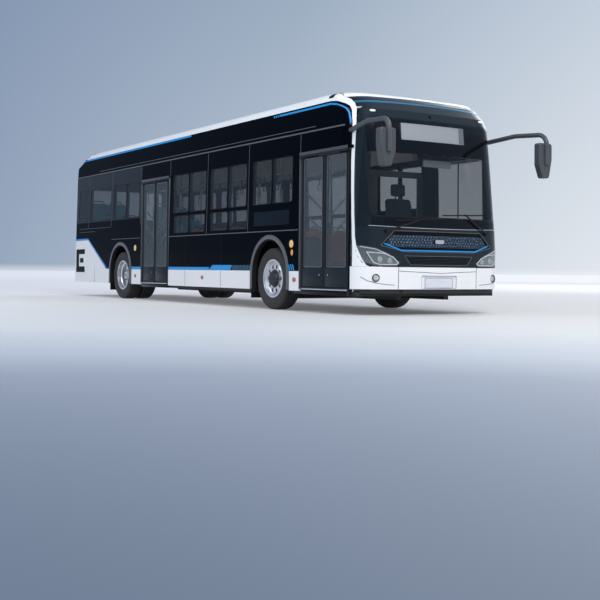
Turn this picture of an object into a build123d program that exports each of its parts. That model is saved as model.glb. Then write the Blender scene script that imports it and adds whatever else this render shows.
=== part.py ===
from build123d import *
import math
import os

# A low-floor electric city bus, 2.55 m wide, with two pairs of inward-gliding door leaves.
# Stations are millimetres ahead of the front axle, offsets are from the middle plane with the
# driver's side positive, and heights are above the road.

# Driving sizes of the body
HALF_WIDTH = 1275
FRONT_END = 2560
REAR_END = -8900
ROOF_TOP = 3145
WALL = 60
GLASS = 8
SCREEN_GLASS = 12
NOSE_BOW = 85
SEAM = 6
RUNNING = 0.05
MOVING_GAP = 6

# Levels of the body
SKIRT_BOTTOM = 307
SKIRT_TOP = 598
BELT_LEVEL = 900
NOSE_LEVEL = 1210
CANTRAIL = ROOF_TOP - 445
CEILING = ROOF_TOP - 405
ROOF_DECK = ROOF_TOP - 245
CHIN_TOP = 362
BUMPER_TOP = 670
OUTSIDE = HALF_WIDTH + 125

# Stations where the body's panels meet
MASK_JOIN = 2185
CORNER_START = 1900
SKIRT_CORNER = 2110
DOME_JOIN = 1650
REAR_JOIN = -8620

# Running gear
WHEELBASE = 6050
REAR_AXLE = -WHEELBASE
TYRE_RADIUS = 478.5
TYRE_WIDTH = 275
BEAD_RADIUS = 285.75
RIM_WIDTH = 235
FLANGE_RADIUS = 298.5
FRONT_TRACK_HALF = 1090
KINGPIN_HALF = 985
KINGPIN_RADIUS = 25
SPINDLE_RADIUS = 40
TWIN_OUTER_HALF = 1097
TWIN_SPACING = 312
REAR_SPINDLE_RADIUS = 55

# Wheel arches
ARCH_RADIUS = 516
ARCH_CENTRE = 564
FLARE_RADIUS = 586
LIP = 8
FLARE_PROUD = 12
BOX_HALF = 570
BOX_TOP = 1110
BOX_CORNER = 350
BOX_WALL = 20
AXLE_SLOT = 110
FRONT_BOX_INNER = 580
REAR_BOX_INNER = 560

# Floor
FLOOR_TOP = 322
FLOOR_THICK = 60
PLATFORM_TOP = 720
PLATFORM_FRONT = REAR_AXLE + 1000
PEDESTAL_TOP = 1050
PEDESTAL_FRONT = REAR_AXLE - 1300
MOTOR_FRONT = REAR_AXLE - 1510
CAB_FLOOR = 560

# Doors: each leaf hangs on an arm of a turning column, and its middle is the arm's pin
DOOR_HEAD = 2302
LEAF_BOTTOM = 362
LEAF_TOP = 2262
LEAF_THICK = 36
LEAF_INSET = 12
LEAF_OFFSET = 50
COLUMN_RADIUS = 18
COLUMN_TO_JAMB = 30
LEAF_EDGE = 31
ARM_THICK = 16
ARM_HALF = 20
ARM_GAP = 8
PIN_RADIUS = 10
LEAF_STILE = 58
GLASS_LOW = 660
GLASS_HIGH = 2235
COLUMN_LINE = HALF_WIDTH - LEAF_INSET - LEAF_THICK / 2 - LEAF_OFFSET

# Columns: name, rear edge and front edge of the doorway
DOORWAYS = [
    ("front", 865, 2185),
    ("middle", REAR_AXLE + 1053, REAR_AXLE + 2334),
]

# Mirrors
MIRROR_REACH = 3250
MIRROR_HALF = 1396
MIRROR_ARM_RADIUS = 34
MIRROR_ARM_TOP = ROOF_TOP - 540
MIRROR_LEVEL = MIRROR_ARM_TOP - 400
MIRROR_DEPTH = 105
MIRROR_CORNER = 38
MIRROR_ROUND = 24
# Outline of the head from behind: offset outwards from its middle, height above its middle
MIRROR_HEAD = [(-125, 250), (125, 250), (125, 20), (70, -250), (-52, -250), (-125, -60)]

# The part's own frame has its origin on the road below the middle of the whole bus
FRAME_SHIFT = -(MIRROR_REACH + REAR_END) / 2

# Plan of the body at each level:
# height, front end, rear end, half width, front corner radius, rear corner radius
BODY_LEVELS = [
    (SKIRT_BOTTOM, FRONT_END - 12, REAR_END, HALF_WIDTH, 350, 220),
    (BELT_LEVEL, FRONT_END, REAR_END, HALF_WIDTH, 350, 220),
    (NOSE_LEVEL, FRONT_END - 15, REAR_END, HALF_WIDTH - 5, 350, 220),
    (CANTRAIL, FRONT_END - 160, REAR_END, HALF_WIDTH - 32, 350, 220),
    (ROOF_TOP - 285, FRONT_END - 240, REAR_END + 25, HALF_WIDTH - 35, 360, 220),
    (ROOF_TOP - 125, FRONT_END - 395, REAR_END + 440, HALF_WIDTH - 44, 380, 230),
    (ROOF_TOP - 45, FRONT_END - 510, REAR_END + 660, HALF_WIDTH - 82, 380, 230),
    (ROOF_TOP, FRONT_END - 680, REAR_END + 800, HALF_WIDTH - 160, 380, 230),
]

os.makedirs("parts", exist_ok=True)


def save(name, shapes):
    """Write one node's solids, moved from stations to the part's own frame."""
    rows = shapes if isinstance(shapes, list) else [shapes]
    solids = [Pos(FRAME_SHIFT, 0, 0) * solid for shape in rows for solid in shape.solids()]
    export_step(solids[0] if len(solids) == 1 else Compound(solids), f"parts/{name}.step")


def block(x0, x1, y0, y1, z0, z1):
    """A box between two stations, two offsets and two heights."""
    return Pos((x0 + x1) / 2, (y0 + y1) / 2, (z0 + z1) / 2) * Box(x1 - x0, y1 - y0, z1 - z0)


def sides(shape):
    """A piece and its twin on the other side of the bus."""
    return [shape, mirror(shape, Plane.XZ)]


def joined(shapes):
    """One shape fused from touching pieces."""
    result = shapes[0]
    for shape in shapes[1:]:
        result = result + shape
    return result


def rod(start, end, radius):
    """A round bar between two points."""
    axis = Vector(*end) - Vector(*start)
    return Solid.make_cylinder(radius, axis.length, Plane(origin=start, z_dir=axis))


def window(x0, x1, z0, z1, y0, y1, radius=45):
    """A hole through a side wall with rounded corners."""
    body = block(x0, x1, y0, y1, z0, z1)
    return fillet(body.edges().filter_by(Axis.Y), radius)


def plan(level, inset):
    """The body's outline at one level, drawn in by an inset: a bowed nose, round corners, a flat tail."""
    height, front, rear, half, front_radius, rear_radius = level
    nose, tail, side = front - inset, rear + inset, half - inset
    front_round, rear_round = front_radius - inset, rear_radius - inset
    bow_radius = (side ** 2 + NOSE_BOW ** 2) / (2 * NOSE_BOW)
    bow_centre = nose - bow_radius
    corner = bow_centre + math.sqrt((bow_radius - front_round) ** 2 - (side - front_round) ** 2)
    turn = math.atan2(side - front_round, corner - bow_centre)
    x_end, y_end = bow_centre + bow_radius * math.cos(turn), bow_radius * math.sin(turn)
    half_turn = (turn + math.pi / 2) / 2
    x_mid = corner + front_round * math.cos(half_turn)
    y_mid = side - front_round + front_round * math.sin(half_turn)
    cut = rear_round * (1 - math.sqrt(0.5))
    edges = [
        Line((tail + rear_round, side), (corner, side)),
        ThreePointArc((corner, side), (x_mid, y_mid), (x_end, y_end)),
        ThreePointArc((x_end, y_end), (nose, 0), (x_end, -y_end)),
        ThreePointArc((x_end, -y_end), (x_mid, -y_mid), (corner, -side)),
        Line((corner, -side), (tail + rear_round, -side)),
        ThreePointArc((tail + rear_round, -side), (tail + cut, -side + cut), (tail, -side + rear_round)),
        Line((tail, -side + rear_round), (tail, side - rear_round)),
        ThreePointArc((tail, side - rear_round), (tail + cut, side - cut), (tail + rear_round, side)),
    ]
    return Pos(0, 0, height) * Wire([edge.edge() for edge in edges])


def envelope(inset=0):
    """The whole body as one closed form, drawn in by an inset."""
    return Solid.make_loft([plan(level, inset) for level in BODY_LEVELS], ruled=True)


def at_level(z, column):
    """One size of the body, between the levels of its table."""
    for lower, upper in zip(BODY_LEVELS, BODY_LEVELS[1:]):
        if z <= upper[0]:
            share = max(0, (z - lower[0]) / (upper[0] - lower[0]))
            return lower[column] + share * (upper[column] - lower[column])
    return BODY_LEVELS[-1][column]


def side_layer(side, x0, x1, z0, z1, outer, inner):
    """A layer of a side wall, between two depths below its leaning face."""
    heights = [z0] + [level[0] for level in BODY_LEVELS if z0 < level[0] < z1] + [z1]
    out_points = [(side * (at_level(z, 3) - outer), z) for z in heights]
    in_points = [(side * (at_level(z, 3) - inner), z) for z in reversed(heights)]
    face = make_face(Polyline(*out_points, *in_points, close=True).edges())
    return Pos(x0, 0, 0) * extrude(Plane.YZ * face, x1 - x0)


def prism(points, y_side=1, x0=2200, x1=2700):
    """A form drawn as offsets and heights and carried along the bus."""
    corners = [(y_side * y, z) for y, z in points]
    face = make_face(Polyline(*corners, close=True).edges())
    return Pos(x0, 0, 0) * extrude(Plane.YZ * face, x1 - x0)


def arch(radius, x, y0, y1, bottom=SKIRT_BOTTOM - 60):
    """The form of a wheel arch: a half round over straight sides."""
    rear, front = x - radius, x + radius
    legs = Polyline((rear, ARCH_CENTRE), (rear, bottom), (front, bottom), (front, ARCH_CENTRE))
    crown = ThreePointArc((front, ARCH_CENTRE), (x, ARCH_CENTRE + radius), (rear, ARCH_CENTRE))
    face = make_face(legs.edges() + crown.edges())
    return Pos(0, y1, 0) * extrude(Plane.XZ * face, y1 - y0)


def wheel_box(x, half, top, corner, y0, y1, bottom=SKIRT_BOTTOM):
    """A box over a wheel, rounded above."""
    body = block(x - half, x + half, y0, y1, bottom, top)
    upper = body.edges().filter_by(Axis.Y).group_by(Axis.Z)[-1]
    return fillet(upper, corner)


AXLES = [("front", 0, FRONT_BOX_INNER), ("rear", -WHEELBASE, REAR_BOX_INNER)]
INNER = HALF_WIDTH - WALL

# Side windows: rear edge, front edge, bottom, top. The paired ones have a divider in the middle
UPPER = (1635, 2330)
LOWER = (1265, 1580)
DIVIDER = 30
MIDDLE_REAR, MIDDLE_FRONT = DOORWAYS[1][1:]
BAY_REAR, BAY_FRONT = MIDDLE_FRONT + 136, MIDDLE_FRONT + 1486
DOOR_SIDE_PAIRS = [
    (-575, 640, *UPPER), (BAY_FRONT + 160, -780, *UPPER), (BAY_REAR, BAY_FRONT, *UPPER),
    (REAR_AXLE - 430, REAR_AXLE + 910, *UPPER),
    (BAY_FRONT + 180, -740, *LOWER), (BAY_REAR + 60, BAY_FRONT - 20, *LOWER),
]
DOOR_SIDE_PANES = [(-7840, REAR_AXLE - 580, *UPPER), (-8560, -7960, *UPPER)]
DRIVER_SIDE_PAIRS = [
    (MIDDLE_REAR + 47, MIDDLE_FRONT - 34, *UPPER), (MIDDLE_REAR + 47, MIDDLE_FRONT - 34, *LOWER),
]
DRIVER_SIDE_PANES = [(1000, 2090, 1265, 2330)]
SIDE_DISPLAY = (-520, 560, 1300, 1520)


def behind_side(side):
    """All that lies inside one side's outer face, to cut what is fitted on it."""
    return side_layer(side, REAR_JOIN, CORNER_START, 0, CANTRAIL, 0, 300)


def wall_windows(side):
    """Every window hole of one side wall."""
    pairs = DOOR_SIDE_PAIRS + (DRIVER_SIDE_PAIRS if side > 0 else [])
    rows = DOOR_SIDE_PANES + (DRIVER_SIDE_PANES if side > 0 else [])
    for x0, x1, z0, z1 in pairs:
        middle = (x0 + x1) / 2
        rows = rows + [(x0, middle - DIVIDER / 2, z0, z1), (middle + DIVIDER / 2, x1, z0, z1)]
    y0, y1 = sorted((side * (HALF_WIDTH - 140), side * (HALF_WIDTH + 40)))
    return [window(x0, x1, z0, z1, y0, y1) for x0, x1, z0, z1 in rows]


BODY = envelope()
CAVITY = envelope(WALL)


def side_wall(side):
    """One side wall from the skirt to the cantrail, with its windows, doorways and arches cut."""
    corner = BODY & block(CORNER_START, MASK_JOIN, *sorted((side * 900, side * OUTSIDE)), SKIRT_TOP, CANTRAIL)
    wall = side_layer(side, REAR_JOIN, CORNER_START, SKIRT_TOP, CANTRAIL, 0, WALL) + (corner - CAVITY)
    wall = wall - wall_windows(side)
    for name, x, inner in AXLES:
        wall = wall - arch(ARCH_RADIUS, x, *sorted((side * 1100, side * OUTSIDE)))
    if side < 0:
        for name, x0, x1 in DOORWAYS:
            wall = wall - block(x0, x1, -OUTSIDE, -900, 0, DOOR_HEAD)
            wall = wall + block(x0 - 30, x1, -HALF_WIDTH - 8, -INNER - 5, DOOR_HEAD, DOOR_HEAD + 43)
        x0, x1, z0, z1 = SIDE_DISPLAY
        wall = wall - side_layer(side, x0, x1, z0, z1, -5, 20)
    return wall - inlet_slots(side, SKIRT_TOP, CANTRAIL)


def side_glass(side):
    """The panes that fill one wall's window holes, flush with its face."""
    layer = side_layer(side, REAR_JOIN, MASK_JOIN, SKIRT_TOP, CANTRAIL, 0, GLASS)
    return [layer & hole for hole in wall_windows(side)]


# Inlet fields behind the rear wheels: rear end, front end, foot, head
INLETS = [(-8605, -8120, 525, 590), (-8605, -8120, 925, 1030), (-8605, -8485, 606, 925), (-8410, -8200, 735, 835)]
SLAT_PITCH = 26
SLAT_GAP = 15


def inlet_slots(side, low, high):
    """The slots of the inlets between two heights, cut into the side's face."""
    slots = []
    for x0, x1, z0, z1 in INLETS:
        if z0 >= low and z1 <= high:
            for step in range(int((z1 - z0) / SLAT_PITCH)):
                z = z0 + SLAT_PITCH * step + 4
                slots.append(side_layer(side, x0, x1, z, z + SLAT_GAP, -4, 14))
    return slots


save("side_wall_right", side_wall(-1))
save("side_wall_left", side_wall(1))

# Rear wall, with its window and the opening of the motor lid
LID_HALF = 860
LID_BOTTOM = 640
LID_TOP = 1500
REAR_WINDOW = (-900, 900, 1760, CANTRAIL - 300)


def rear_hole(y0, y1, z0, z1, radius):
    """A hole through the rear wall with rounded corners."""
    body = block(REAR_END - 40, REAR_END + 140, y0, y1, z0, z1)
    return fillet(body.edges().filter_by(Axis.X), radius)


rear_zone = block(REAR_END - 50, REAR_JOIN, -OUTSIDE, OUTSIDE, SKIRT_TOP, CANTRAIL)
lid_hole = block(REAR_END - 40, REAR_END + 140, -LID_HALF, LID_HALF, LID_BOTTOM, LID_TOP)
rear_pane_hole = rear_hole(*REAR_WINDOW, 60)
rear_wall = (BODY & rear_zone) - CAVITY - lid_hole - rear_pane_hole
HINGE_PIN = 5
HINGE_TUBE = 9
HINGE_GAP = 0.3
LID_BORE = HINGE_PIN + HINGE_GAP
LID_RECESS = 15
LID_AXIS = (REAR_END + 9, LID_TOP + 4)
LID_HINGES = (-600, 0, 600)
lid_x, lid_z = LID_AXIS
rebate = block(REAR_END - 1, REAR_END + 20, -LID_HALF + 40, LID_HALF - 40, LID_TOP - 1, LID_TOP + 25)
rear_wall = rear_wall - rebate
for y in LID_HINGES:
    for end in (-1, 1):
        y0, y1 = sorted((y + end * 62, y + end * 74))
        rear_wall = rear_wall + block(REAR_END + 2, REAR_END + 20, y0, y1, lid_z - 7, LID_TOP + 25)
    rear_wall = rear_wall + rod((lid_x, y - 62, lid_z), (lid_x, y + 62, lid_z), HINGE_PIN)
save("rear_wall", rear_wall)

rear_pane = rear_pane_hole & block(REAR_END, REAR_END + GLASS, -HALF_WIDTH, HALF_WIDTH, SKIRT_TOP, CANTRAIL)
panes = side_glass(-1) + side_glass(1) + [rear_pane]
save("windows", panes)

# Motor lid, hung at its upper edge
lid_half = LID_HALF - SEAM
lid = block(REAR_END + LID_RECESS, REAR_END + WALL, -lid_half, lid_half, LID_BOTTOM + SEAM, LID_TOP - SEAM)
for slot in range(7):
    z = LID_BOTTOM + 130 + slot * 75
    lid = lid - block(REAR_END - 1, REAR_END + LID_RECESS + 18, -620, 620, z, z + 32)
for y in LID_HINGES:
    lid = lid + rod((lid_x, y - 55, lid_z), (lid_x, y + 55, lid_z), HINGE_TUBE)
    lid = lid + block(REAR_END + 6, REAR_END + 20, y - 55, y + 55, LID_TOP - 34, LID_TOP)
    lid = lid - rod((lid_x, y - 60, lid_z), (lid_x, y + 60, lid_z), LID_BORE)
save("rear_lid", lid)

# Front mask: A-pillars, scuttle, header and dome
SCREEN_BOTTOM = 1215
SCREEN_TOP = ROOF_TOP - 400
SCREEN_JOIN = 2290
SIGHT_BOTTOM = 1370
SIGHT_TOP = ROOF_TOP - 890
SIGHT_HALF = 1110
SIGN = (575, ROOF_TOP - 705, ROOF_TOP - 460)
HEADLAMP = [(672, 735), (735, 682), (1070, 676), (1210, 720), (1300, 850), (1300, 985),
            (1230, 966), (1058, 930), (846, 846)]
GRILLE = [(620, 880), (985, 960), (770, 1165), (-770, 1165), (-985, 960), (-620, 880)]
LAMP_BOWL = [(705, 722), (735, 702), (1000, 700), (1085, 728), (1160, 868), (935, 852), (790, 800)]
# offset, height, radius of each projector
PROJECTORS = [(830, 752, 40), (985, 772, 46)]
LOWER_GRILLE = [(605, 822), (510, 700), (-510, 700), (-605, 822)]

front_zone = block(MASK_JOIN, FRONT_END + 50, -OUTSIDE, OUTSIDE, 0, ROOF_TOP + 50)
front = BODY & front_zone
layers = {depth: front - envelope(depth) for depth in (SCREEN_GLASS, 15, 40)}
screen_zone = block(SCREEN_JOIN, FRONT_END + 50, -OUTSIDE, OUTSIDE, SCREEN_BOTTOM, SCREEN_TOP)
windshield = layers[SCREEN_GLASS] & screen_zone
sight = block(SCREEN_JOIN - 100, FRONT_END + 50, -SIGHT_HALF, SIGHT_HALF, SIGHT_BOTTOM, SIGHT_TOP)
sight = fillet(sight.edges().filter_by(Axis.X), 90)

def front_face(y, z):
    """The station of the body's front face at an offset and a height."""
    return at_level(z, 1) - NOSE_BOW * (y / at_level(z, 3)) ** 2


headlamps = []
lamp_zones = []
for side in (1, -1):
    zone = layers[40] & prism(HEADLAMP, side)
    bowl = layers[15] & prism(LAMP_BOWL, side)
    lamp_zones.append(zone)
    lamp = zone - bowl
    for y, z, radius in PROJECTORS:
        barrel_form = rod((2300, side * y, z), (2700, side * y, z), radius) & layers[40]
        lamp = lamp + (barrel_form - layers[SCREEN_GLASS])
    headlamps.append(lamp)
grille_cut = layers[15] & (prism(GRILLE) + prism(LOWER_GRILLE))
sign_half, sign_low, sign_high = SIGN
sign_hole = block(SCREEN_JOIN - 100, FRONT_END, -sign_half, sign_half, sign_low, sign_high)
sign_recess = layers[15] & sign_hole
sign_board = (layers[40] & sign_hole) - layers[15]

SHELF = INNER - 35
roof_void = block(REAR_JOIN - 100, MASK_JOIN, -SHELF, SHELF, CANTRAIL - 200, ROOF_DECK)
roof_well = block(REAR_END + 900, DOME_JOIN + 60, -1080, 1080, ROOF_DECK, ROOF_TOP + 50)
lower_mask = (front & block(MASK_JOIN, FRONT_END + 50, -OUTSIDE, OUTSIDE, BUMPER_TOP, CANTRAIL)) - CAVITY
dome = BODY & block(DOME_JOIN, FRONT_END + 50, -OUTSIDE, OUTSIDE, CANTRAIL, ROOF_TOP + 50)
dome = dome - roof_void - roof_well - CAVITY
mask = lower_mask + dome
mask = mask - windshield - sight - lamp_zones - grille_cut - sign_board - sign_recess

# The mask is thin where the front door's fore leaf stands beside it when it is open
LEAF_POCKET = (MASK_JOIN + 50, 540)
POCKET_SKIN = 20
pocket_end, pocket_inner = LEAF_POCKET
pocket_zone = block(MASK_JOIN, pocket_end, -OUTSIDE, -pocket_inner, BUMPER_TOP, DOOR_HEAD)
mask = mask - (envelope(POCKET_SKIN) & pocket_zone)

# Grille studs: height and half width of each row
STUD_ROWS = [(968, 920), (1006, 880), (1044, 850), (1082, 815)]
STUD_SPACING = 52
STUD_SIZE = 17
BADGE = (78, 998, 1052)
badge_half, badge_low, badge_high = BADGE
studs = []
for row, (z, half) in enumerate(STUD_ROWS):
    count = int(half / STUD_SPACING)
    shift = STUD_SPACING / 2 * (row % 2)
    for step in range(-count, count + 1):
        y = step * STUD_SPACING + shift
        if abs(y) > half or (abs(y) < badge_half + STUD_SIZE and badge_low - 20 < z < badge_high + 20):
            continue
        face = front_face(y, z) - 15
        studs.append(Pos(face, y, z) * Rot(45, 0, 0) * Box(20, STUD_SIZE, STUD_SIZE))
face = front_face(0, badge_low) - 15
badge = block(face - 8, face + 12, -badge_half, badge_half, badge_low, badge_high)
badge = fillet(badge.edges().filter_by(Axis.X), 20)
mask = mask + studs + badge
save("front_mask", mask)
save("windshield", windshield)
save("headlamps", headlamps)

display_x0, display_x1, display_z0, display_z1 = SIDE_DISPLAY
side_display = side_layer(-1, display_x0, display_x1, display_z0, display_z1, 0, 20)
save("sign_boards", [sign_board, side_display])

# Roof: the deck with its hatch hole, and the fairings that hide what stands on it
HATCH = (-3050, 380, 330)
hatch_x, hatch_half_x, hatch_half_y = HATCH
deck = block(REAR_JOIN - 100, MASK_JOIN, -SHELF, SHELF, CEILING, ROOF_DECK)
hatch_hole = block(hatch_x - hatch_half_x, hatch_x + hatch_half_x, -hatch_half_y, hatch_half_y,
                   CEILING - 100, ROOF_DECK + 100)
roof_curb = block(hatch_x - hatch_half_x - 40, hatch_x + hatch_half_x + 40,
                  -hatch_half_y - 40, hatch_half_y + 40, ROOF_DECK, ROOF_DECK + 40)
roof = deck + roof_curb - hatch_hole
HATCH_AXIS = (hatch_x - hatch_half_x - 72, ROOF_DECK + 60)
HATCH_HINGES = (-200, 200)
hatch_axis_x, hatch_axis_z = HATCH_AXIS
for y in HATCH_HINGES:
    for end in (-1, 1):
        y0, y1 = sorted((y + end * 37, y + end * 49))
        roof = roof + block(hatch_axis_x - 10, hatch_axis_x + 10, y0, y1, ROOF_DECK, hatch_axis_z + 10)
    roof = roof + rod((hatch_axis_x, y - 40, hatch_axis_z), (hatch_axis_x, y + 40, hatch_axis_z), HINGE_PIN)
save("roof", roof)

fairing_zone = block(REAR_END - 50, DOME_JOIN, -OUTSIDE, OUTSIDE, CANTRAIL, ROOF_TOP + 50)
fairings = (BODY & fairing_zone) - roof_void - roof_well
save("roof_fairings", fairings)

hatch_lid = block(hatch_x - hatch_half_x - 50, hatch_x + hatch_half_x + 50,
                  -hatch_half_y - 50, hatch_half_y + 50, ROOF_DECK + 46, ROOF_DECK + 96)
hatch_lid = fillet(hatch_lid.edges().group_by(Axis.Z)[-1], 20)
for y in HATCH_HINGES:
    tube = rod((hatch_axis_x, y - 30, hatch_axis_z), (hatch_axis_x, y + 30, hatch_axis_z), HINGE_TUBE)
    web = block(hatch_axis_x, hatch_axis_x + 32, y - 30, y + 30, hatch_axis_z - 6, hatch_axis_z + 6)
    bore = rod((hatch_axis_x, y - 40, hatch_axis_z), (hatch_axis_x, y + 40, hatch_axis_z), LID_BORE)
    hatch_lid = hatch_lid + tube + web - bore
save("roof_hatch", hatch_lid)

# Roof equipment: the climate unit and two battery packs
# name, rear station, front station, half width, height
POD_ROWS = [
    ("climate", -2200, 600, 850, ROOF_TOP + 30),
    ("front pack", -5500, -3700, 900, ROOF_TOP + 20),
    ("rear pack", -7500, -5700, 900, ROOF_TOP + 20),
]
FAN_STATIONS = (-1750, -1100, -450)
FAN_RADIUS, FAN_HUB, FAN_DEPTH = 230, 62, 22
RIB_OFFSETS = (-650, -325, 0, 325, 650)
pods = []
for name, x0, x1, half, top in POD_ROWS:
    pod = block(x0, x1, -half, half, ROOF_DECK, top)
    pod = fillet(pod.edges().group_by(Axis.Z)[-1], 60)
    if name == "climate":
        for x in FAN_STATIONS:
            well = rod((x, 0, top - FAN_DEPTH), (x, 0, top + 10), FAN_RADIUS)
            well = well - rod((x, 0, top - 40), (x, 0, top + 20), FAN_HUB)
            for turn in range(0, 360, 60):
                blade = Rot(0, 0, turn) * Pos(140, 0, 0) * Box(200, 34, 12)
                well = well - Pos(x, 0, top - FAN_DEPTH + 6) * blade
            pod = pod - well
    else:
        for y in RIB_OFFSETS:
            pod = pod - block(x0 + 120, x1 - 120, y - 40, y + 40, top - 12, top + 10)
    pods.append(pod)
save("roof_units", pods)

# Lower panels: skirts between arches and doorways, the tail and the front bumper, all white
# side, rear end, front end
FRONT_ARCH = ARCH_RADIUS
REAR_ARCH_FRONT = ARCH_RADIUS - WHEELBASE
REAR_ARCH_REAR = -ARCH_RADIUS - WHEELBASE
SKIRT_RUNS = [
    (-1, REAR_JOIN, REAR_ARCH_REAR), (-1, REAR_ARCH_FRONT, DOORWAYS[1][1]),
    (-1, DOORWAYS[1][2], -FRONT_ARCH), (-1, FRONT_ARCH, DOORWAYS[0][1]),
    (1, REAR_JOIN, REAR_ARCH_REAR), (1, REAR_ARCH_FRONT, -FRONT_ARCH), (1, FRONT_ARCH, SKIRT_CORNER),
]
skirts = []
for side, x0, x1 in SKIRT_RUNS:
    skirt = side_layer(side, x0, x1, SKIRT_BOTTOM, SKIRT_TOP, 0, WALL)
    if x0 == REAR_JOIN:
        skirt = skirt - inlet_slots(side, SKIRT_BOTTOM, SKIRT_TOP)
    skirts.append(skirt)
tail = (BODY & block(REAR_END - 50, REAR_JOIN, -OUTSIDE, OUTSIDE, SKIRT_BOTTOM, SKIRT_TOP)) - CAVITY
bumper = (front & block(MASK_JOIN, FRONT_END + 50, -OUTSIDE, OUTSIDE, CHIN_TOP, BUMPER_TOP)) - CAVITY
bumper = bumper - lamp_zones
# Bumper: blank plate in its recess, fog lamps in theirs, upright seams and the crease between them
PLATE_RECESS = (311, 372, 550)
PLATE = (250, 382, 522)
FOG_LAMP = (1046, 516, 54, 40)
SEAM_Y = 700
SEAM_WIDTH = 5
CREASE = [(690, 617), (690, 611), (0, 582), (0, 588)]
recess_half, recess_low, recess_high = PLATE_RECESS
plate_half, plate_low, plate_high = PLATE
recess_zone = block(2300, FRONT_END + 50, -recess_half, recess_half, recess_low, recess_high)
plate_zone = block(2300, FRONT_END + 50, -plate_half, plate_half, plate_low, plate_high)
plate = (layers[40] - layers[SCREEN_GLASS]) & plate_zone
bumper = (bumper - (layers[15] & recess_zone)) + plate
fog_y, fog_z, fog_recess, fog_radius = FOG_LAMP
grooves = front - envelope(SCREEN_GLASS / 3)
for side in (1, -1):
    y0, y1 = sorted((side * SEAM_Y, side * (SEAM_Y + SEAM_WIDTH)))
    bumper = bumper - (grooves & block(2300, FRONT_END + 50, y0, y1, CHIN_TOP - 10, BUMPER_TOP + 10))
    bumper = bumper - (grooves & prism(CREASE, side))
    pocket = rod((2300, side * fog_y, fog_z), (2700, side * fog_y, fog_z), fog_recess)
    lens = rod((2300, side * fog_y, fog_z), (2700, side * fog_y, fog_z), fog_radius)
    bumper = (bumper - (layers[15] & pocket)) + ((layers[40] - layers[SCREEN_GLASS]) & lens)
corner_skirt = (BODY & block(SKIRT_CORNER, MASK_JOIN, 900, OUTSIDE, SKIRT_BOTTOM, SKIRT_TOP)) - CAVITY
save("lower_panels", skirts + [corner_skirt, tail, bumper])

# Wheel boxes and arch trims
arch_solids = []
for name, x, inner in AXLES:
    outer = wheel_box(x, BOX_HALF + BOX_WALL, BOX_TOP + BOX_WALL, BOX_CORNER + BOX_WALL, inner, INNER)
    hollow = wheel_box(x, BOX_HALF, BOX_TOP, BOX_CORNER, inner + BOX_WALL, INNER + 20, SKIRT_BOTTOM - 20)
    axle_slot = block(x - AXLE_SLOT, x + AXLE_SLOT, inner - 5, inner + BOX_WALL + 5,
                      0, TYRE_RADIUS + AXLE_SLOT)
    wall_skin = side_layer(1, x - 700, x + 700, SKIRT_BOTTOM - 20, CANTRAIL, -40, WALL)
    arch_solids.extend(sides(outer - hollow - axle_slot - wall_skin))
    ring = arch(FLARE_RADIUS, x, HALF_WIDTH - 12, HALF_WIDTH + FLARE_PROUD, SKIRT_BOTTOM)
    ring = ring - behind_side(1)
    lip = arch(ARCH_RADIUS, x, INNER, HALF_WIDTH + FLARE_PROUD, SKIRT_BOTTOM)
    hole = arch(ARCH_RADIUS - LIP, x, INNER - 10, HALF_WIDTH + FLARE_PROUD + 10, SKIRT_BOTTOM - 40)
    arch_solids.extend(sides(ring + lip - hole))
save("wheel_arches", arch_solids)

# Floor: low deck, rear platform, rear pedestal, cab floor, chassis members and door sills
low_deck = block(PLATFORM_FRONT, MASK_JOIN + 120, -INNER, INNER, FLOOR_TOP - FLOOR_THICK, FLOOR_TOP)
riser = block(PLATFORM_FRONT - 40, PLATFORM_FRONT, -INNER, INNER, FLOOR_TOP - FLOOR_THICK, PLATFORM_TOP)
platform = block(PEDESTAL_FRONT, PLATFORM_FRONT - 40, -INNER, INNER, PLATFORM_TOP - FLOOR_THICK, PLATFORM_TOP)
pedestal_half = INNER - 6
rear_riser = block(PEDESTAL_FRONT - 40, PEDESTAL_FRONT, -pedestal_half, pedestal_half,
                   PLATFORM_TOP - FLOOR_THICK, PEDESTAL_TOP)
pedestal = block(REAR_JOIN, PEDESTAL_FRONT - 40, -pedestal_half, pedestal_half,
                 PEDESTAL_TOP - FLOOR_THICK, PEDESTAL_TOP)
cab_deck = block(660, MASK_JOIN, 120, INNER, CAB_FLOOR - 40, CAB_FLOOR)
cab_riser = block(660, MASK_JOIN, 120, 150, FLOOR_TOP, CAB_FLOOR)
cab_back = block(660, 690, 120, INNER, FLOOR_TOP, CAB_FLOOR)
floor = joined([low_deck, riser, platform, rear_riser, pedestal, cab_deck, cab_riser, cab_back])
for y in (-430, 430):
    floor = floor + block(-5000, -170, y - 40, y + 40, 205, FLOOR_TOP - FLOOR_THICK)
    floor = floor + block(170, MASK_JOIN, y - 40, y + 40, 205, FLOOR_TOP - FLOOR_THICK)
for y in (-300, 300):
    floor = floor + block(MOTOR_FRONT, PLATFORM_FRONT - 40, y - 40, y + 40, 590, PLATFORM_TOP - FLOOR_THICK)
chin = envelope(30) & block(MASK_JOIN - 200, FRONT_END, -OUTSIDE, OUTSIDE, SKIRT_BOTTOM, CHIN_TOP)
chin = chin - block(0, MASK_JOIN + 120, -OUTSIDE, OUTSIDE, 0, 400)
floor = floor + chin
TOW_Y, TOW_Z, TOW_FACE, TOW_DEPTH, TOW_RADIUS = -620, 335, 2505, 60, 15
floor = floor + rod((TOW_FACE - 100, TOW_Y, TOW_Z), (TOW_FACE, TOW_Y, TOW_Z), TOW_RADIUS + 11)
floor = floor - rod((TOW_FACE - TOW_DEPTH, TOW_Y, TOW_Z), (TOW_FACE + 20, TOW_Y, TOW_Z), TOW_RADIUS)
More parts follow.
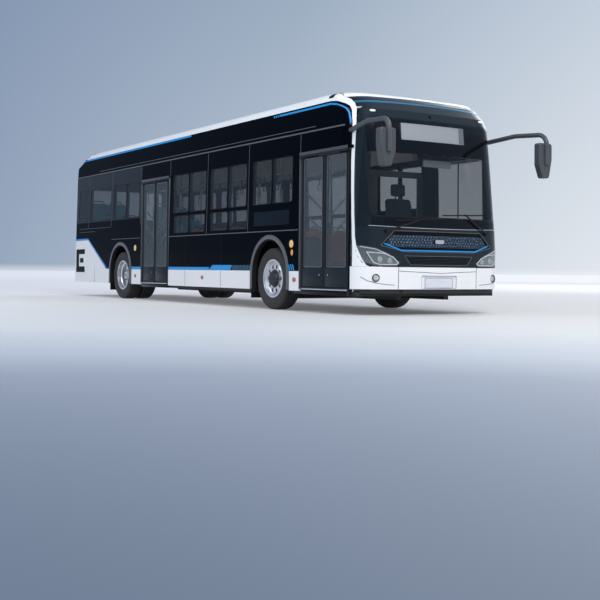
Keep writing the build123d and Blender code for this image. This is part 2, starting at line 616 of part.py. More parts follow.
for name, x, inner in AXLES:
    well = wheel_box(x, BOX_HALF + BOX_WALL, BOX_TOP + BOX_WALL, BOX_CORNER + BOX_WALL, inner, 1300, 100)
    floor = floor - sides(well)
for name, x0, x1 in DOORWAYS:
    sill = block(x0 + 60, x1 - 60, -HALF_WIDTH, -INNER, FLOOR_TOP - FLOOR_THICK, FLOOR_TOP)
    edge = block(x0 + 60, x1 - 60, -HALF_WIDTH, -HALF_WIDTH + 35, FLOOR_TOP, FLOOR_TOP + 28)
    floor = floor + sill + edge
floor = (floor & block(REAR_END, FRONT_END, -HALF_WIDTH, HALF_WIDTH, 0, 2000)) - corner_skirt
save("floor", floor)

# Heavy hidden masses: the traction motor with its drive, behind the rear axle
motor = block(-8560, MOTOR_FRONT, -420, 420, 430, PEDESTAL_TOP - FLOOR_THICK)
save("drive_block", motor)


def ring_solid(points):
    """A form turned about the wheel's axis, drawn as offset along the axle and radius."""
    face = make_face(Polyline(*[(y, r) for y, r in points], close=True).edges())
    return revolve(face, Axis.X)


def on_axle(shape, x):
    """A wheel part turned from its drawing to the driver's side end of an axle."""
    return Pos(x, 0, TYRE_RADIUS) * Rot(0, 0, 90) * shape


def tyre(centre):
    """A tyre with rounded shoulders, drawn on its axle's offset."""
    half = TYRE_WIDTH / 2
    bead = RIM_WIDTH / 2 - 13.5
    seat = BEAD_RADIUS + 0.2
    outline = [
        (-bead, seat), (bead, seat), (bead + 4, FLANGE_RADIUS), (half - 22, FLANGE_RADIUS + 10),
        (half, 375), (half - 6, 425), (half - 22, TYRE_RADIUS - 12), (half - 45, TYRE_RADIUS),
        (-half + 45, TYRE_RADIUS), (-half + 22, TYRE_RADIUS - 12), (-half + 6, 425), (-half, 375),
        (-half + 22, FLANGE_RADIUS + 10), (-bead - 4, FLANGE_RADIUS),
    ]
    return ring_solid([(centre + y, r) for y, r in outline])


def barrel(centre):
    """A rim's barrel with its flanges and drop centre."""
    w = RIM_WIDTH / 2
    outline = [
        (-w + 12, BEAD_RADIUS), (-80, BEAD_RADIUS), (-45, BEAD_RADIUS - 4), (-30, 262),
        (30, 262), (45, BEAD_RADIUS - 4), (80, BEAD_RADIUS), (w - 12, BEAD_RADIUS),
        (w - 8, FLANGE_RADIUS), (w, FLANGE_RADIUS), (w, BEAD_RADIUS - 12),
        (50, BEAD_RADIUS - 18), (35, 250), (-35, 250), (-50, BEAD_RADIUS - 18),
        (-w, BEAD_RADIUS - 12), (-w, FLANGE_RADIUS), (-w + 8, FLANGE_RADIUS),
    ]
    return ring_solid([(centre + y, r) for y, r in outline])


def hand_holes(y0, y1, radius, circle, count=10):
    """The ring of round holes in a wheel disc."""
    hole = Pos((y0 + y1) / 2, 0, circle) * Rot(0, 90, 0) * Cylinder(radius, y1 - y0)
    return [Rot(360 / count * (i + 0.5), 0, 0) * hole for i in range(count)]


def front_rim():
    """A front wheel: barrel, outset disc and hub with its bore."""
    c = FRONT_TRACK_HALF
    disc = ring_solid([(c + 66, 120), (c + 66, 205), (c + 30, 258),
                       (c + 44, 262), (c + 84, 212), (c + 84, 120)])
    hub = ring_solid([(c - 40, SPINDLE_RADIUS + RUNNING), (c - 40, 95), (c + 40, 110), (c + 66, 140),
                      (c + 84, 140), (c + 92, 118), (c + 128, 104), (c + 136, 84), (c + 136, 0),
                      (c + 120, 0), (c + 120, SPINDLE_RADIUS + RUNNING)])
    wheel = barrel(c) + disc + hub
    return wheel - hand_holes(c + 20, c + 100, 27, 188)


def rear_rim():
    """A twin rear wheel: two barrels, two discs back to back and the drive hub."""
    outer_c = TWIN_OUTER_HALF
    inner_c = TWIN_OUTER_HALF - TWIN_SPACING
    middle = (outer_c + inner_c) / 2
    bore = REAR_SPINDLE_RADIUS + RUNNING
    discs = ring_solid([
        (middle - 14, 130), (middle - 14, 210), (inner_c + 46, 266), (inner_c + 60, 271),
        (middle, 224), (outer_c - 60, 271), (outer_c - 46, 266), (middle + 14, 210), (middle + 14, 130)])
    hub = ring_solid([
        (inner_c - 40, bore), (inner_c - 40, 120), (middle - 14, 150), (middle + 14, 150), (middle + 30, 128),
        (outer_c + 10, 118), (outer_c + 50, 100), (outer_c + 50, 0), (outer_c + 34, 0), (outer_c + 34, bore)])
    wheel = barrel(outer_c) + barrel(inner_c) + discs + hub
    return wheel - hand_holes(middle - 60, middle + 60, 27, 192)


for side_name, side in (("left", 1), ("right", -1)):
    flip = (lambda shape: shape) if side > 0 else (lambda shape: mirror(shape, Plane.XZ))
    save(f"tyre_front_{side_name}", flip(on_axle(tyre(FRONT_TRACK_HALF), 0)))
    save(f"rim_front_{side_name}", flip(on_axle(front_rim(), 0)))
    twin = [tyre(TWIN_OUTER_HALF), tyre(TWIN_OUTER_HALF - TWIN_SPACING)]
    save(f"tyres_rear_{side_name}", [flip(on_axle(t, -WHEELBASE)) for t in twin])
    save(f"rim_rear_{side_name}", flip(on_axle(rear_rim(), -WHEELBASE)))

    # Knuckle: a fork on the kingpin with the wheel's spindle
    fork = block(-60, 60, KINGPIN_HALF - 45, KINGPIN_HALF + 58, TYRE_RADIUS - 130, TYRE_RADIUS + 130)
    fork = fork - block(-70, 70, KINGPIN_HALF - 60, KINGPIN_HALF + 45, TYRE_RADIUS - 82, TYRE_RADIUS + 82)
    spindle_end = FRONT_TRACK_HALF + 112
    spindle = rod((0, KINGPIN_HALF + 50, TYRE_RADIUS), (0, spindle_end, TYRE_RADIUS), SPINDLE_RADIUS)
    track_arm = block(-230, -55, KINGPIN_HALF - 40, KINGPIN_HALF, TYRE_RADIUS - 130, TYRE_RADIUS - 100)
    pin_bore = rod((0, KINGPIN_HALF, 200), (0, KINGPIN_HALF, 800), KINGPIN_RADIUS + RUNNING)
    knuckle = fork + spindle + track_arm - pin_bore
    save(f"knuckle_{side_name}", flip(knuckle))

# Front axle: dropped beam, kingpin bosses, kingpins, air springs and their posts
SPRING_HALF = 690
beam = block(-60, 60, -800, 800, 170, 250)
for side in (1, -1):
    y0, y1 = sorted((side * 730, side * 800))
    beam = beam + block(-60, 60, y0, y1, 170, TYRE_RADIUS + 50)
    y0, y1 = sorted((side * 650, side * (KINGPIN_HALF - 20)))
    beam = beam + block(-45, 45, y0, y1, TYRE_RADIUS - 50, TYRE_RADIUS + 50)
    y = side * KINGPIN_HALF
    beam = beam + rod((0, y, TYRE_RADIUS - 76), (0, y, TYRE_RADIUS + 76), 38)
    beam = beam + rod((0, y, TYRE_RADIUS - 130), (0, y, TYRE_RADIUS + 130), KINGPIN_RADIUS)
    y = side * SPRING_HALF
    beam = beam + rod((0, y, TYRE_RADIUS + 50), (0, y, 860), 85)
    beam = beam + rod((0, y, 860), (0, y, BOX_TOP), 45)
save("axle_front", beam)

# Rear axle: driven beam with spindles, air springs on its seats
rear_beam = rod((-WHEELBASE, -640, TYRE_RADIUS), (-WHEELBASE, 640, TYRE_RADIUS), 85)
rear_beam = rear_beam + Pos(-WHEELBASE, 0, TYRE_RADIUS) * Sphere(170)
spindle_end = TWIN_OUTER_HALF + 28
rear_beam = rear_beam + rod((-WHEELBASE, -spindle_end, TYRE_RADIUS), (-WHEELBASE, spindle_end, TYRE_RADIUS),
                            REAR_SPINDLE_RADIUS)
for side in (1, -1):
    for x in (-WHEELBASE - 330, -WHEELBASE + 330):
        y = side * 480
        rear_beam = rear_beam + rod((x, y, TYRE_RADIUS + 20), (x, y, PLATFORM_TOP - FLOOR_THICK), 75)
    y0, y1 = sorted((side * 445, side * 515))
    rear_beam = rear_beam + block(-WHEELBASE - 400, -WHEELBASE + 400, y0, y1,
                                  TYRE_RADIUS - 40, TYRE_RADIUS + 20)
save("axle_rear", rear_beam)


def door_set(name, x0, x1):
    """Both columns, leaves and panes of one doorway on the right side."""
    line = -COLUMN_LINE
    half_span = (x1 - x0) / 2 - COLUMN_TO_JAMB
    arm = (half_span + LEAF_EDGE - MOVING_GAP / 2) / 2
    reach = half_span - MOVING_GAP / 2
    face = line - LEAF_OFFSET - LEAF_THICK / 2
    for end, column_x, sign in (("rear", x0 + COLUMN_TO_JAMB, 1), ("fore", x1 - COLUMN_TO_JAMB, -1)):
        def at(s):
            return column_x + sign * s

        def span(s0, s1, y0, y1, z0, z1):
            xa, xb = sorted((at(s0), at(s1)))
            return block(xa, xb, y0, y1, z0, z1)

        arm_low = LEAF_BOTTOM - ARM_GAP - ARM_THICK
        arm_high = LEAF_TOP + ARM_GAP
        column = rod((column_x, line, FLOOR_TOP), (column_x, line, DOOR_HEAD - 2), COLUMN_RADIUS)
        for z in (arm_low, arm_high):
            column = column + span(0, arm, line - ARM_HALF, line + ARM_HALF, z, z + ARM_THICK)
            column = column + rod((at(arm), line, z), (at(arm), line, z + ARM_THICK), ARM_HALF)
        for z in (arm_low, arm_high):
            bore = rod((at(arm), line, z - 1), (at(arm), line, z + ARM_THICK + 1), PIN_RADIUS + RUNNING)
            column = column - bore
        save(f"{name}_column_{end}", column)

        leaf = span(LEAF_EDGE, reach, face, face + LEAF_THICK, LEAF_BOTTOM, LEAF_TOP)
        glass_hole = span(LEAF_EDGE + LEAF_STILE, reach - LEAF_STILE, face - 1, face + LEAF_THICK + 1,
                          GLASS_LOW, GLASS_HIGH)
        glass_hole = fillet(glass_hole.edges().filter_by(Axis.Y), 30)
        leaf = leaf - glass_hole
        bracket_inner = line + ARM_HALF
        for z0, z1, pin0, pin1 in (
                (LEAF_BOTTOM, LEAF_BOTTOM + 24, arm_low, LEAF_BOTTOM),
                (LEAF_TOP - 24, LEAF_TOP, LEAF_TOP, arm_high + ARM_THICK)):
            leaf = leaf + span(arm - 30, arm + 30, face + LEAF_THICK, bracket_inner, z0, z1)
            leaf = leaf + rod((at(arm), line, pin0), (at(arm), line, pin1), PIN_RADIUS)
        rail_y = face + LEAF_THICK + 42
        for top, bottom in ((1720, 1400), (1410, 1080)):
            low, high = (at(reach - 30), rail_y, bottom), (at(LEAF_EDGE + 30), rail_y, top)
            leaf = leaf + rod(low, high, 14)
            for point in (low, high):
                leaf = leaf + rod(point, (point[0], face + LEAF_THICK - 2, point[2]), 14)
        save(f"{name}_leaf_{end}", leaf)
        save(f"{name}_pane_{end}", glass_hole & span(0, reach, face, face + GLASS, 0, 3000))


for name, x0, x1 in DOORWAYS:
    door_set(f"{name}_door", x0, x1)

# Mirrors on forward arms
arm_x = MIRROR_REACH - MIRROR_ARM_RADIUS
route = FilletPolyline(
    (2130, HALF_WIDTH - 40, MIRROR_ARM_TOP - 55), (2650, 1330, MIRROR_ARM_TOP),
    (arm_x, MIRROR_HALF, MIRROR_ARM_TOP - 30), (arm_x, MIRROR_HALF, MIRROR_LEVEL - 60), radius=[300, 150])
start = Plane(origin=route @ 0, z_dir=route % 0)
mirror_arm = sweep(start * Circle(MIRROR_ARM_RADIUS), path=route)
mirror_arm = mirror_arm - BODY
head_outline = [(MIRROR_HALF + y, MIRROR_LEVEL + z) for y, z in MIRROR_HEAD]
head_rear, head_front = arm_x - 60 - MIRROR_DEPTH / 2, arm_x - 60 + MIRROR_DEPTH / 2
head = prism(head_outline, 1, head_rear, head_front)
head = fillet(head.edges().filter_by(Axis.X), MIRROR_CORNER)
head = fillet(head.faces().sort_by(Axis.X)[-1].edges(), MIRROR_ROUND)
glass_outline = [(MIRROR_HALF + 0.82 * y, MIRROR_LEVEL + 0.88 * z) for y, z in MIRROR_HEAD]
head = head - prism(glass_outline, 1, head_rear - 1, head_rear + 5)
save("mirrors", sides(mirror_arm + head))


# Wipers: pivot offset and height, arm tip offset and height, blade ends
WIPERS = [
    ((-900, 1160), (-330, 1330), (-760, 1300), (90, 1352)),
    ((880, 1160), (470, 1420), (60, 1400), (860, 1432)),
]
wipers = []
for pivot, tip, blade_a, blade_b in WIPERS:
    def ahead(point, gap):
        return (front_face(*point) + gap, point[0], point[1])
    post = rod(ahead(pivot, -10), ahead(pivot, 45), 22) - BODY
    arm = rod(ahead(pivot, 34), ahead(tip, 38), 11)
    blade = rod(ahead(blade_a, 14), ahead(blade_b, 14), 9)
    foot = rod(ahead(tip, 8), ahead(tip, 38), 11)
    wipers.append((post + arm + foot + blade) - BODY)
save("wipers", wipers)

# Small lamps: round and square lenses on the body's skin
# station, offset sign, height, radius
SIDE_LENSES = [
    (665, 470, 26), (-2314, 470, 26), (REAR_AXLE + 780, 470, 26),
    (670, 874, 34), (650, 1005, 62), (REAR_AXLE + 760, 1021, 62),
]
lenses = []
for x, z, radius in SIDE_LENSES:
    lenses.extend(sides(rod((x, HALF_WIDTH - 14, z), (x, HALF_WIDTH + 8, z), radius) - behind_side(1)))
MARKER_Y, MARKER_Z, MARKER_HALF = 977, ROOF_TOP - 319, (38, 14)
for side in (1, -1):
    y = side * MARKER_Y
    face = front_face(MARKER_Y, MARKER_Z)
    half_y, half_z = MARKER_HALF
    marker = block(face - 60, face + 12, y - half_y, y + half_y, MARKER_Z - half_z, MARKER_Z + half_z) - BODY
    lenses.append(marker)
    for z in (780, 930, 1080, 1230):
        y = side * 960
        lenses.append(rod((REAR_END - 12, y, z), (REAR_END, y, z), 58))
save("signal_lamps", lenses)

# Driver's place: dash, seat, partition, wheel and cab door
DASH_REAR = 1830
dash = block(DASH_REAR, 2290, 150, INNER - 45, CAB_FLOOR, 1180)
dash = chamfer(dash.edges().filter_by(Axis.Y).group_by(Axis.X)[0].sort_by(Axis.Z)[-1], 90)
dash = dash - block(1800, 2050, 300, INNER - 120, CAB_FLOOR - 1, 960)
hood = block(1900, 2290, 330, 900, 1170, 1290)
hood = chamfer(hood.edges().filter_by(Axis.Y).group_by(Axis.Z)[-1], 60)
dash = dash + hood
WHEEL_CENTRE = (1640, 620, 1205)
WHEEL_TILT = 28
tilt = math.radians(WHEEL_TILT)
axis = (-math.sin(tilt), 0, math.cos(tilt))


def along(distance):
    """A point on the steering wheel's axis."""
    return tuple(c + a * distance for c, a in zip(WHEEL_CENTRE, axis))


steering_column = rod(along(-780), along(-47 - HINGE_GAP), 34)
dash = dash + (steering_column - block(1500, 2300, 400, 900, 0, CAB_FLOOR))
save("dash", dash)
wheel_plane = Plane(origin=WHEEL_CENTRE, z_dir=axis)
rim_ring = wheel_plane * Torus(220, 15)
hub_disc = wheel_plane * Pos(0, 0, -22) * Cylinder(62, 50)
SPOKE_ANGLES = (20, 160, 215, 325)
spokes = [wheel_plane * Rot(0, 0, angle) * Pos(134, 0, -6) * Box(164, 34, 14) for angle in SPOKE_ANGLES]
save("steering_wheel", joined([hub_disc, rim_ring] + spokes))

SEAT_CLEAR = 0.3


def cushion_form(x, y, depth, width, low, high, corner):
    """A seat's cushion with rounded corners, seen from above."""
    form = block(x - depth / 2, x + depth / 2, y - width / 2, y + width / 2, low, high)
    return fillet(form.edges().filter_by(Axis.Z), corner)


def backrest_form(x, y, foot, width, low, high, lean, corner):
    """A seat's back: a plate that leans rearwards, thinner and rounded at its head."""
    outline = [(x, low), (x + foot, low), (x + foot * 0.75 - lean, high), (x - lean, high)]
    form = extrude(Plane.XZ * make_face(Polyline(*outline, close=True).edges()), width)
    form = Pos(0, y + width / 2, 0) * form
    head = form.faces().sort_by(Axis.Z)[-1].edges().filter_by(Axis.X)
    return fillet(head, corner)


# Driver's seat: a base, a cushion and a tall back
SEAT_X, SEAT_Y, SEAT_TOP = 1045, 625, 1060
seat = cushion_form(SEAT_X, SEAT_Y, 450, 450, SEAT_TOP - 100, SEAT_TOP, 50)
back = backrest_form(SEAT_X - 235, SEAT_Y, 110, 450, SEAT_TOP + SEAT_CLEAR, SEAT_TOP + 690, 95, 60)
column_seat = block(SEAT_X - 115, SEAT_X + 105, 510, 740, CAB_FLOOR, SEAT_TOP - 100 - SEAT_CLEAR)
save("driver_seat", [seat, back, column_seat])

# Cab post: rear face, front face, nearer offset, farther offset
CAB_POST = (680, 730, 68, 118)
CAB_DOOR_LENGTH = 590
CAB_DOOR_TOP = 1400
CAB_DOOR_THICK = 30
post_rear, post_front, post_near, post_far = CAB_POST
partition = block(690, 716, 110, INNER - 45, CAB_FLOOR, 2200)
partition = partition - block(post_rear, post_front, 260, INNER - 160, 1350, 2100)
post = block(post_rear, post_front, post_near, post_far, FLOOR_TOP, CEILING)
CAB_HINGE = (post_front + 11, post_near + 2)
CAB_HINGE_LEVELS = (480, 1260)
hinge_x, hinge_y = CAB_HINGE
door_rear, door_near = hinge_x + 11, hinge_y + 10
door_front, door_far = door_rear + CAB_DOOR_LENGTH, door_near + CAB_DOOR_THICK
partition = partition + post
cab_door = block(door_rear, door_front, door_near, door_far, FLOOR_TOP + 30, CAB_DOOR_TOP)
cab_door = cab_door - block(door_rear + 88, door_front - 80, door_near - 10, door_far + 10, 1050, 1320)
for z in CAB_HINGE_LEVELS:
    partition = partition + block(post_front - 1, hinge_x + 3, hinge_y - 5, hinge_y + 5, z, z + 20)
    partition = partition + rod((hinge_x, hinge_y, z), (hinge_x, hinge_y, z + 64), HINGE_PIN)
    low, high = z + 20 + HINGE_GAP, z + 62
    cab_door = cab_door + rod((hinge_x, hinge_y, low), (hinge_x, hinge_y, high), HINGE_TUBE)
    cab_door = cab_door + block(hinge_x, door_rear + 10, hinge_y - 8, hinge_y + 12, low, high)
    cab_door = cab_door - rod((hinge_x, hinge_y, z), (hinge_x, hinge_y, z + 80), LID_BORE)
# The cab's fixed side between its door and the dash, standing on the cab floor
side_panel = block(door_front + 12, DASH_REAR - 2, 120, 146, CAB_FLOOR, CAB_DOOR_TOP - 60)
save("cab_partition", [partition, side_panel])
save("cab_door", cab_door)

# Passenger seats: station and side of each low row, station and base height of each raised row
SEAT_WIDTH = 425
SEAT_PAIR_Y = 762
CUSHION_LOW, CUSHION_HIGH, BACK_TOP = 412, 470, 1000
FRONT_ROWS = [(-1150, 1), (-1950, 1), (-2750, 1), (-1150, -1), (-1950, -1), (-2750, -1)]
REAR_ROWS = [(REAR_AXLE - 1000, PLATFORM_TOP), (REAR_AXLE - 1800, PEDESTAL_TOP)]


def seat_pair(x, side, base):
    """Two seats side by side on a beam and a foot, each piece a hair clear of the next."""
    solids = []
    beam_y = side * SEAT_PAIR_Y
    for place in (-1, 1):
        y = beam_y + place * (SEAT_WIDTH / 2 + 4)
        low, high = base + CUSHION_LOW + SEAT_CLEAR, base + CUSHION_HIGH
        solids.append(cushion_form(x, y, 420, SEAT_WIDTH, low, high, 40))
        solids.append(backrest_form(x - 208, y, 50, SEAT_WIDTH, high + SEAT_CLEAR, base + BACK_TOP, 75, 60))
    beam_low = base + CUSHION_LOW - 27
    solids.append(block(x - 120, x + 120, beam_y - 400, beam_y + 400, beam_low, base + CUSHION_LOW))
    solids.append(block(x - 50, x + 50, beam_y - 200, beam_y + 200, base, beam_low - SEAT_CLEAR))
    return solids


save("passenger_seats_front", [piece for x, side in FRONT_ROWS for piece in seat_pair(x, side, FLOOR_TOP)])
rear_seats = []
for x, base in REAR_ROWS:
    for side in (1, -1):
        rear_seats.extend(seat_pair(x, side, base))
save("passenger_seats_rear", rear_seats)

# Handrails: two overhead rails with posts from floor to ceiling
RAIL_Y = 300
RAIL_Z = 2250
# station, foot height
POSTS = [(-700, FLOOR_TOP), (-1500, FLOOR_TOP), (-2300, FLOOR_TOP), (-3100, FLOOR_TOP),
         (REAR_AXLE + 1700, FLOOR_TOP), (REAR_AXLE + 800, PLATFORM_TOP), (REAR_AXLE - 550, PLATFORM_TOP)]
rails = []
for side in (1, -1):
    rail = rod((REAR_AXLE - 1150, side * RAIL_Y, RAIL_Z), (-500, side * RAIL_Y, RAIL_Z), 16)
    for x, foot in POSTS:
        rail = rail + rod((x, side * RAIL_Y, foot), (x, side * RAIL_Y, CEILING), 16)
    rails.append(rail)
save("handrails", rails)

# Side ducts below the ceiling
DUCT_DROP = 320
duct = prism([(870, CEILING), (1170, CEILING), (1170, CEILING - DUCT_DROP), (1110, CEILING - DUCT_DROP)],
             1, REAR_JOIN + 200, 560)
save("ceiling_ducts", sides(duct))
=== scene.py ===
"""A low-floor electric city bus, dressed around its construction frame.

Stations are metres ahead of the front axle, offsets are metres from the middle plane with the
driver's side positive, and heights are metres above the road.
"""

import logging
import math
from collections.abc import Callable
from dataclasses import dataclass, field
from enum import Enum

import bmesh
import bpy
import numpy as np
from mathutils import Matrix, Vector


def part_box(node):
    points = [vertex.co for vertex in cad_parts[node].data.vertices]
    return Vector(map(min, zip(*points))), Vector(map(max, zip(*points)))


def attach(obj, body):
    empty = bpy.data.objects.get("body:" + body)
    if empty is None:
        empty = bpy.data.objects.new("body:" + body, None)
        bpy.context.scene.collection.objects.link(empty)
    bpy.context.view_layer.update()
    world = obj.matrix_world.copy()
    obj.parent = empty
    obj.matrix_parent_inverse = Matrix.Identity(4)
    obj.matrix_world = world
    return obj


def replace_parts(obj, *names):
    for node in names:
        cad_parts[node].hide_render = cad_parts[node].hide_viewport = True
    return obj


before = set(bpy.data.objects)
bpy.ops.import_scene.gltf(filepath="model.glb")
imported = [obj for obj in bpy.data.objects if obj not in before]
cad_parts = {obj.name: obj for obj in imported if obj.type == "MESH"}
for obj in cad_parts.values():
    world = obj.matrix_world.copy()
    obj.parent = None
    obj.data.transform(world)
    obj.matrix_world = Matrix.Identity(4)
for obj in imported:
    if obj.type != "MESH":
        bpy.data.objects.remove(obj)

Array = np.ndarray
Colour = tuple[float, float, float]
Point = tuple[float, float, float]
Flat = tuple[float, float]
Stops = tuple[tuple[float, Colour], ...]
log = logging.getLogger("bus")

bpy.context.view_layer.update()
WHEEL_LOW, WHEEL_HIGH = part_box("rim_front_left")
FRONT_AXLE = (WHEEL_LOW.x + WHEEL_HIGH.x) / 2
AXLE_HEIGHT = (WHEEL_LOW.z + WHEEL_HIGH.z) / 2
WHEELBASE = 6.05
ORIGIN: Point = (0.0, 0.0, 0.0)
FORWARD: Point = (1.0, 0.0, 0.0)
REARWARD: Point = (-1.0, 0.0, 0.0)
ACROSS: Point = (0.0, 1.0, 0.0)
OUTWARD: Point = (0.0, -1.0, 0.0)
UPWARD: Point = (0.0, 0.0, 1.0)
# How far paint and stripes stand out from the body, in metres
PAINT_PROUD = 0.002
STRIPE_PROUD = 0.0025
# Distance on each side over which the slope of the body's skin is measured
PROBE = 0.002


class Side(Enum):
    """The two long sides of the bus."""

    DOOR = -1
    DRIVER = 1

    @property
    def tag(self) -> str:
        """The side's word in the names of pieces."""
        return self.name.lower()


class Grain(Enum):
    """What the fine surface of a finish looks like."""

    PAINT = "paint"
    MOULDED = "moulded"
    RUBBER = "rubber"
    BRUSHED = "brushed"
    WOVEN = "woven"
    CAST = "cast"
    CLEAR = "clear"


# Grain, size of its pattern per metre, bump strength, bump height in metres
GRAIN_SIZES = {
    Grain.PAINT: (6.0, 0.02, 0.0006),
    Grain.MOULDED: (900.0, 0.25, 0.0003),
    Grain.RUBBER: (260.0, 0.3, 0.0005),
    Grain.BRUSHED: (420.0, 0.12, 0.0002),
    Grain.WOVEN: (700.0, 0.5, 0.0006),
    Grain.CAST: (160.0, 0.45, 0.0009),
    Grain.CLEAR: (3.0, 0.0, 0.0001),
}


@dataclass(frozen=True)
class Finish:
    """One finish: its colour, gloss and fine grain.

    Attributes:
        name: The name of the material.
        colour: Linear red, green and blue.
        roughness: Mean roughness, varied a little over the surface.
        metallic: 1 for bare metal.
        specular: Strength of the plain reflection.
        grain: The fine surface.
        vary: Share by which the colour changes over the surface.
        alpha: How much of what lies behind is hidden, face on.
        glow: Strength of its own light.
    """

    name: str
    colour: Colour
    roughness: float = 0.4
    metallic: float = 0.0
    specular: float = 0.5
    grain: Grain = Grain.MOULDED
    vary: float = 0.12
    alpha: float = 1.0
    glow: float = 0.0

    def material(self) -> bpy.types.Material:
        """Build the finish once, and return it.

        Returns:
            The material, made on the first call and found by name after that.
        """
        found = bpy.data.materials.get(self.name)
        if found:
            return found
        made = bpy.data.materials.new(self.name)
        made.use_nodes = True
        nodes, links = made.node_tree.nodes, made.node_tree.links
        shader = nodes["Principled BSDF"]
        shader.inputs["Metallic"].default_value = self.metallic
        shader.inputs["Specular IOR Level"].default_value = self.specular
        place = nodes.new("ShaderNodeTexCoord")
        self._colour(nodes, links, shader, place)
        self._bump(nodes, links, shader, place)
        if self.alpha < 1.0:
            self._see_through(nodes, links, shader)
        if self.glow:
            shader.inputs["Emission Color"].default_value = (*self.colour, 1.0)
            shader.inputs["Emission Strength"].default_value = self.glow
        made.diffuse_color = (*self.colour, self.alpha)
        return made

    def _colour(self, nodes: bpy.types.Nodes, links: bpy.types.NodeLinks,
                shader: bpy.types.Node, place: bpy.types.Node) -> None:
        """Vary the colour and the roughness in soft clouds over the surface.

        Args:
            nodes: The material's nodes.
            links: The material's links.
            shader: The surface shader.
            place: The texture coordinates.
        """
        clouds = nodes.new("ShaderNodeTexNoise")
        clouds.inputs["Scale"].default_value = 1.7
        clouds.inputs["Detail"].default_value = 5.0
        links.new(place.outputs["Object"], clouds.inputs["Vector"])
        mix = nodes.new("ShaderNodeMix")
        mix.data_type = "RGBA"
        dark = tuple(c * (1.0 - self.vary) for c in self.colour)
        light = tuple(min(1.0, c * (1.0 + self.vary)) for c in self.colour)
        mix.inputs["A"].default_value = (*dark, 1.0)
        mix.inputs["B"].default_value = (*light, 1.0)
        links.new(clouds.outputs["Fac"], mix.inputs["Factor"])
        links.new(mix.outputs["Result"], shader.inputs["Base Color"])
        spread = nodes.new("ShaderNodeMapRange")
        spread.inputs["To Min"].default_value = self.roughness * 0.8
        spread.inputs["To Max"].default_value = min(1.0, self.roughness * 1.2)
        links.new(clouds.outputs["Fac"], spread.inputs["Value"])
        links.new(spread.outputs["Result"], shader.inputs["Roughness"])

    def _bump(self, nodes: bpy.types.Nodes, links: bpy.types.NodeLinks,
              shader: bpy.types.Node, place: bpy.types.Node) -> None:
        """Add the grain as a fine bump.

        Args:
            nodes: The material's nodes.
            links: The material's links.
            shader: The surface shader.
            place: The texture coordinates.
        """
        size, strength, height = GRAIN_SIZES[self.grain]
        if not strength:
            return
        stretch = nodes.new("ShaderNodeMapping")
        if self.grain is Grain.BRUSHED:
            stretch.inputs["Scale"].default_value = (0.04, 1.0, 1.0)
        links.new(place.outputs["Object"], stretch.inputs["Vector"])
        if self.grain is Grain.WOVEN:
            pattern = nodes.new("ShaderNodeTexVoronoi")
            value = pattern.outputs["Distance"]
        else:
            pattern = nodes.new("ShaderNodeTexNoise")
            pattern.inputs["Detail"].default_value = 3.0
            value = pattern.outputs["Fac"]
        pattern.inputs["Scale"].default_value = size
        links.new(stretch.outputs["Vector"], pattern.inputs["Vector"])
        bump = nodes.new("ShaderNodeBump")
        bump.inputs["Strength"].default_value = strength
        bump.inputs["Distance"].default_value = height
        links.new(value, bump.inputs["Height"])
        links.new(bump.outputs["Normal"], shader.inputs["Normal"])

    def _see_through(self, nodes: bpy.types.Nodes, links: bpy.types.NodeLinks,
                     shader: bpy.types.Node) -> None:
        """Let what lies behind show, less of it at a glancing angle.

        Args:
            nodes: The material's nodes.
            links: The material's links.
            shader: The surface shader.
        """
        facing = nodes.new("ShaderNodeLayerWeight")
        facing.inputs["Blend"].default_value = 0.15
        hide = nodes.new("ShaderNodeMapRange")
        hide.inputs["To Min"].default_value = self.alpha
        hide.inputs["To Max"].default_value = 1.0
        links.new(facing.outputs["Facing"], hide.inputs["Value"])
        links.new(hide.outputs["Result"], shader.inputs["Alpha"])


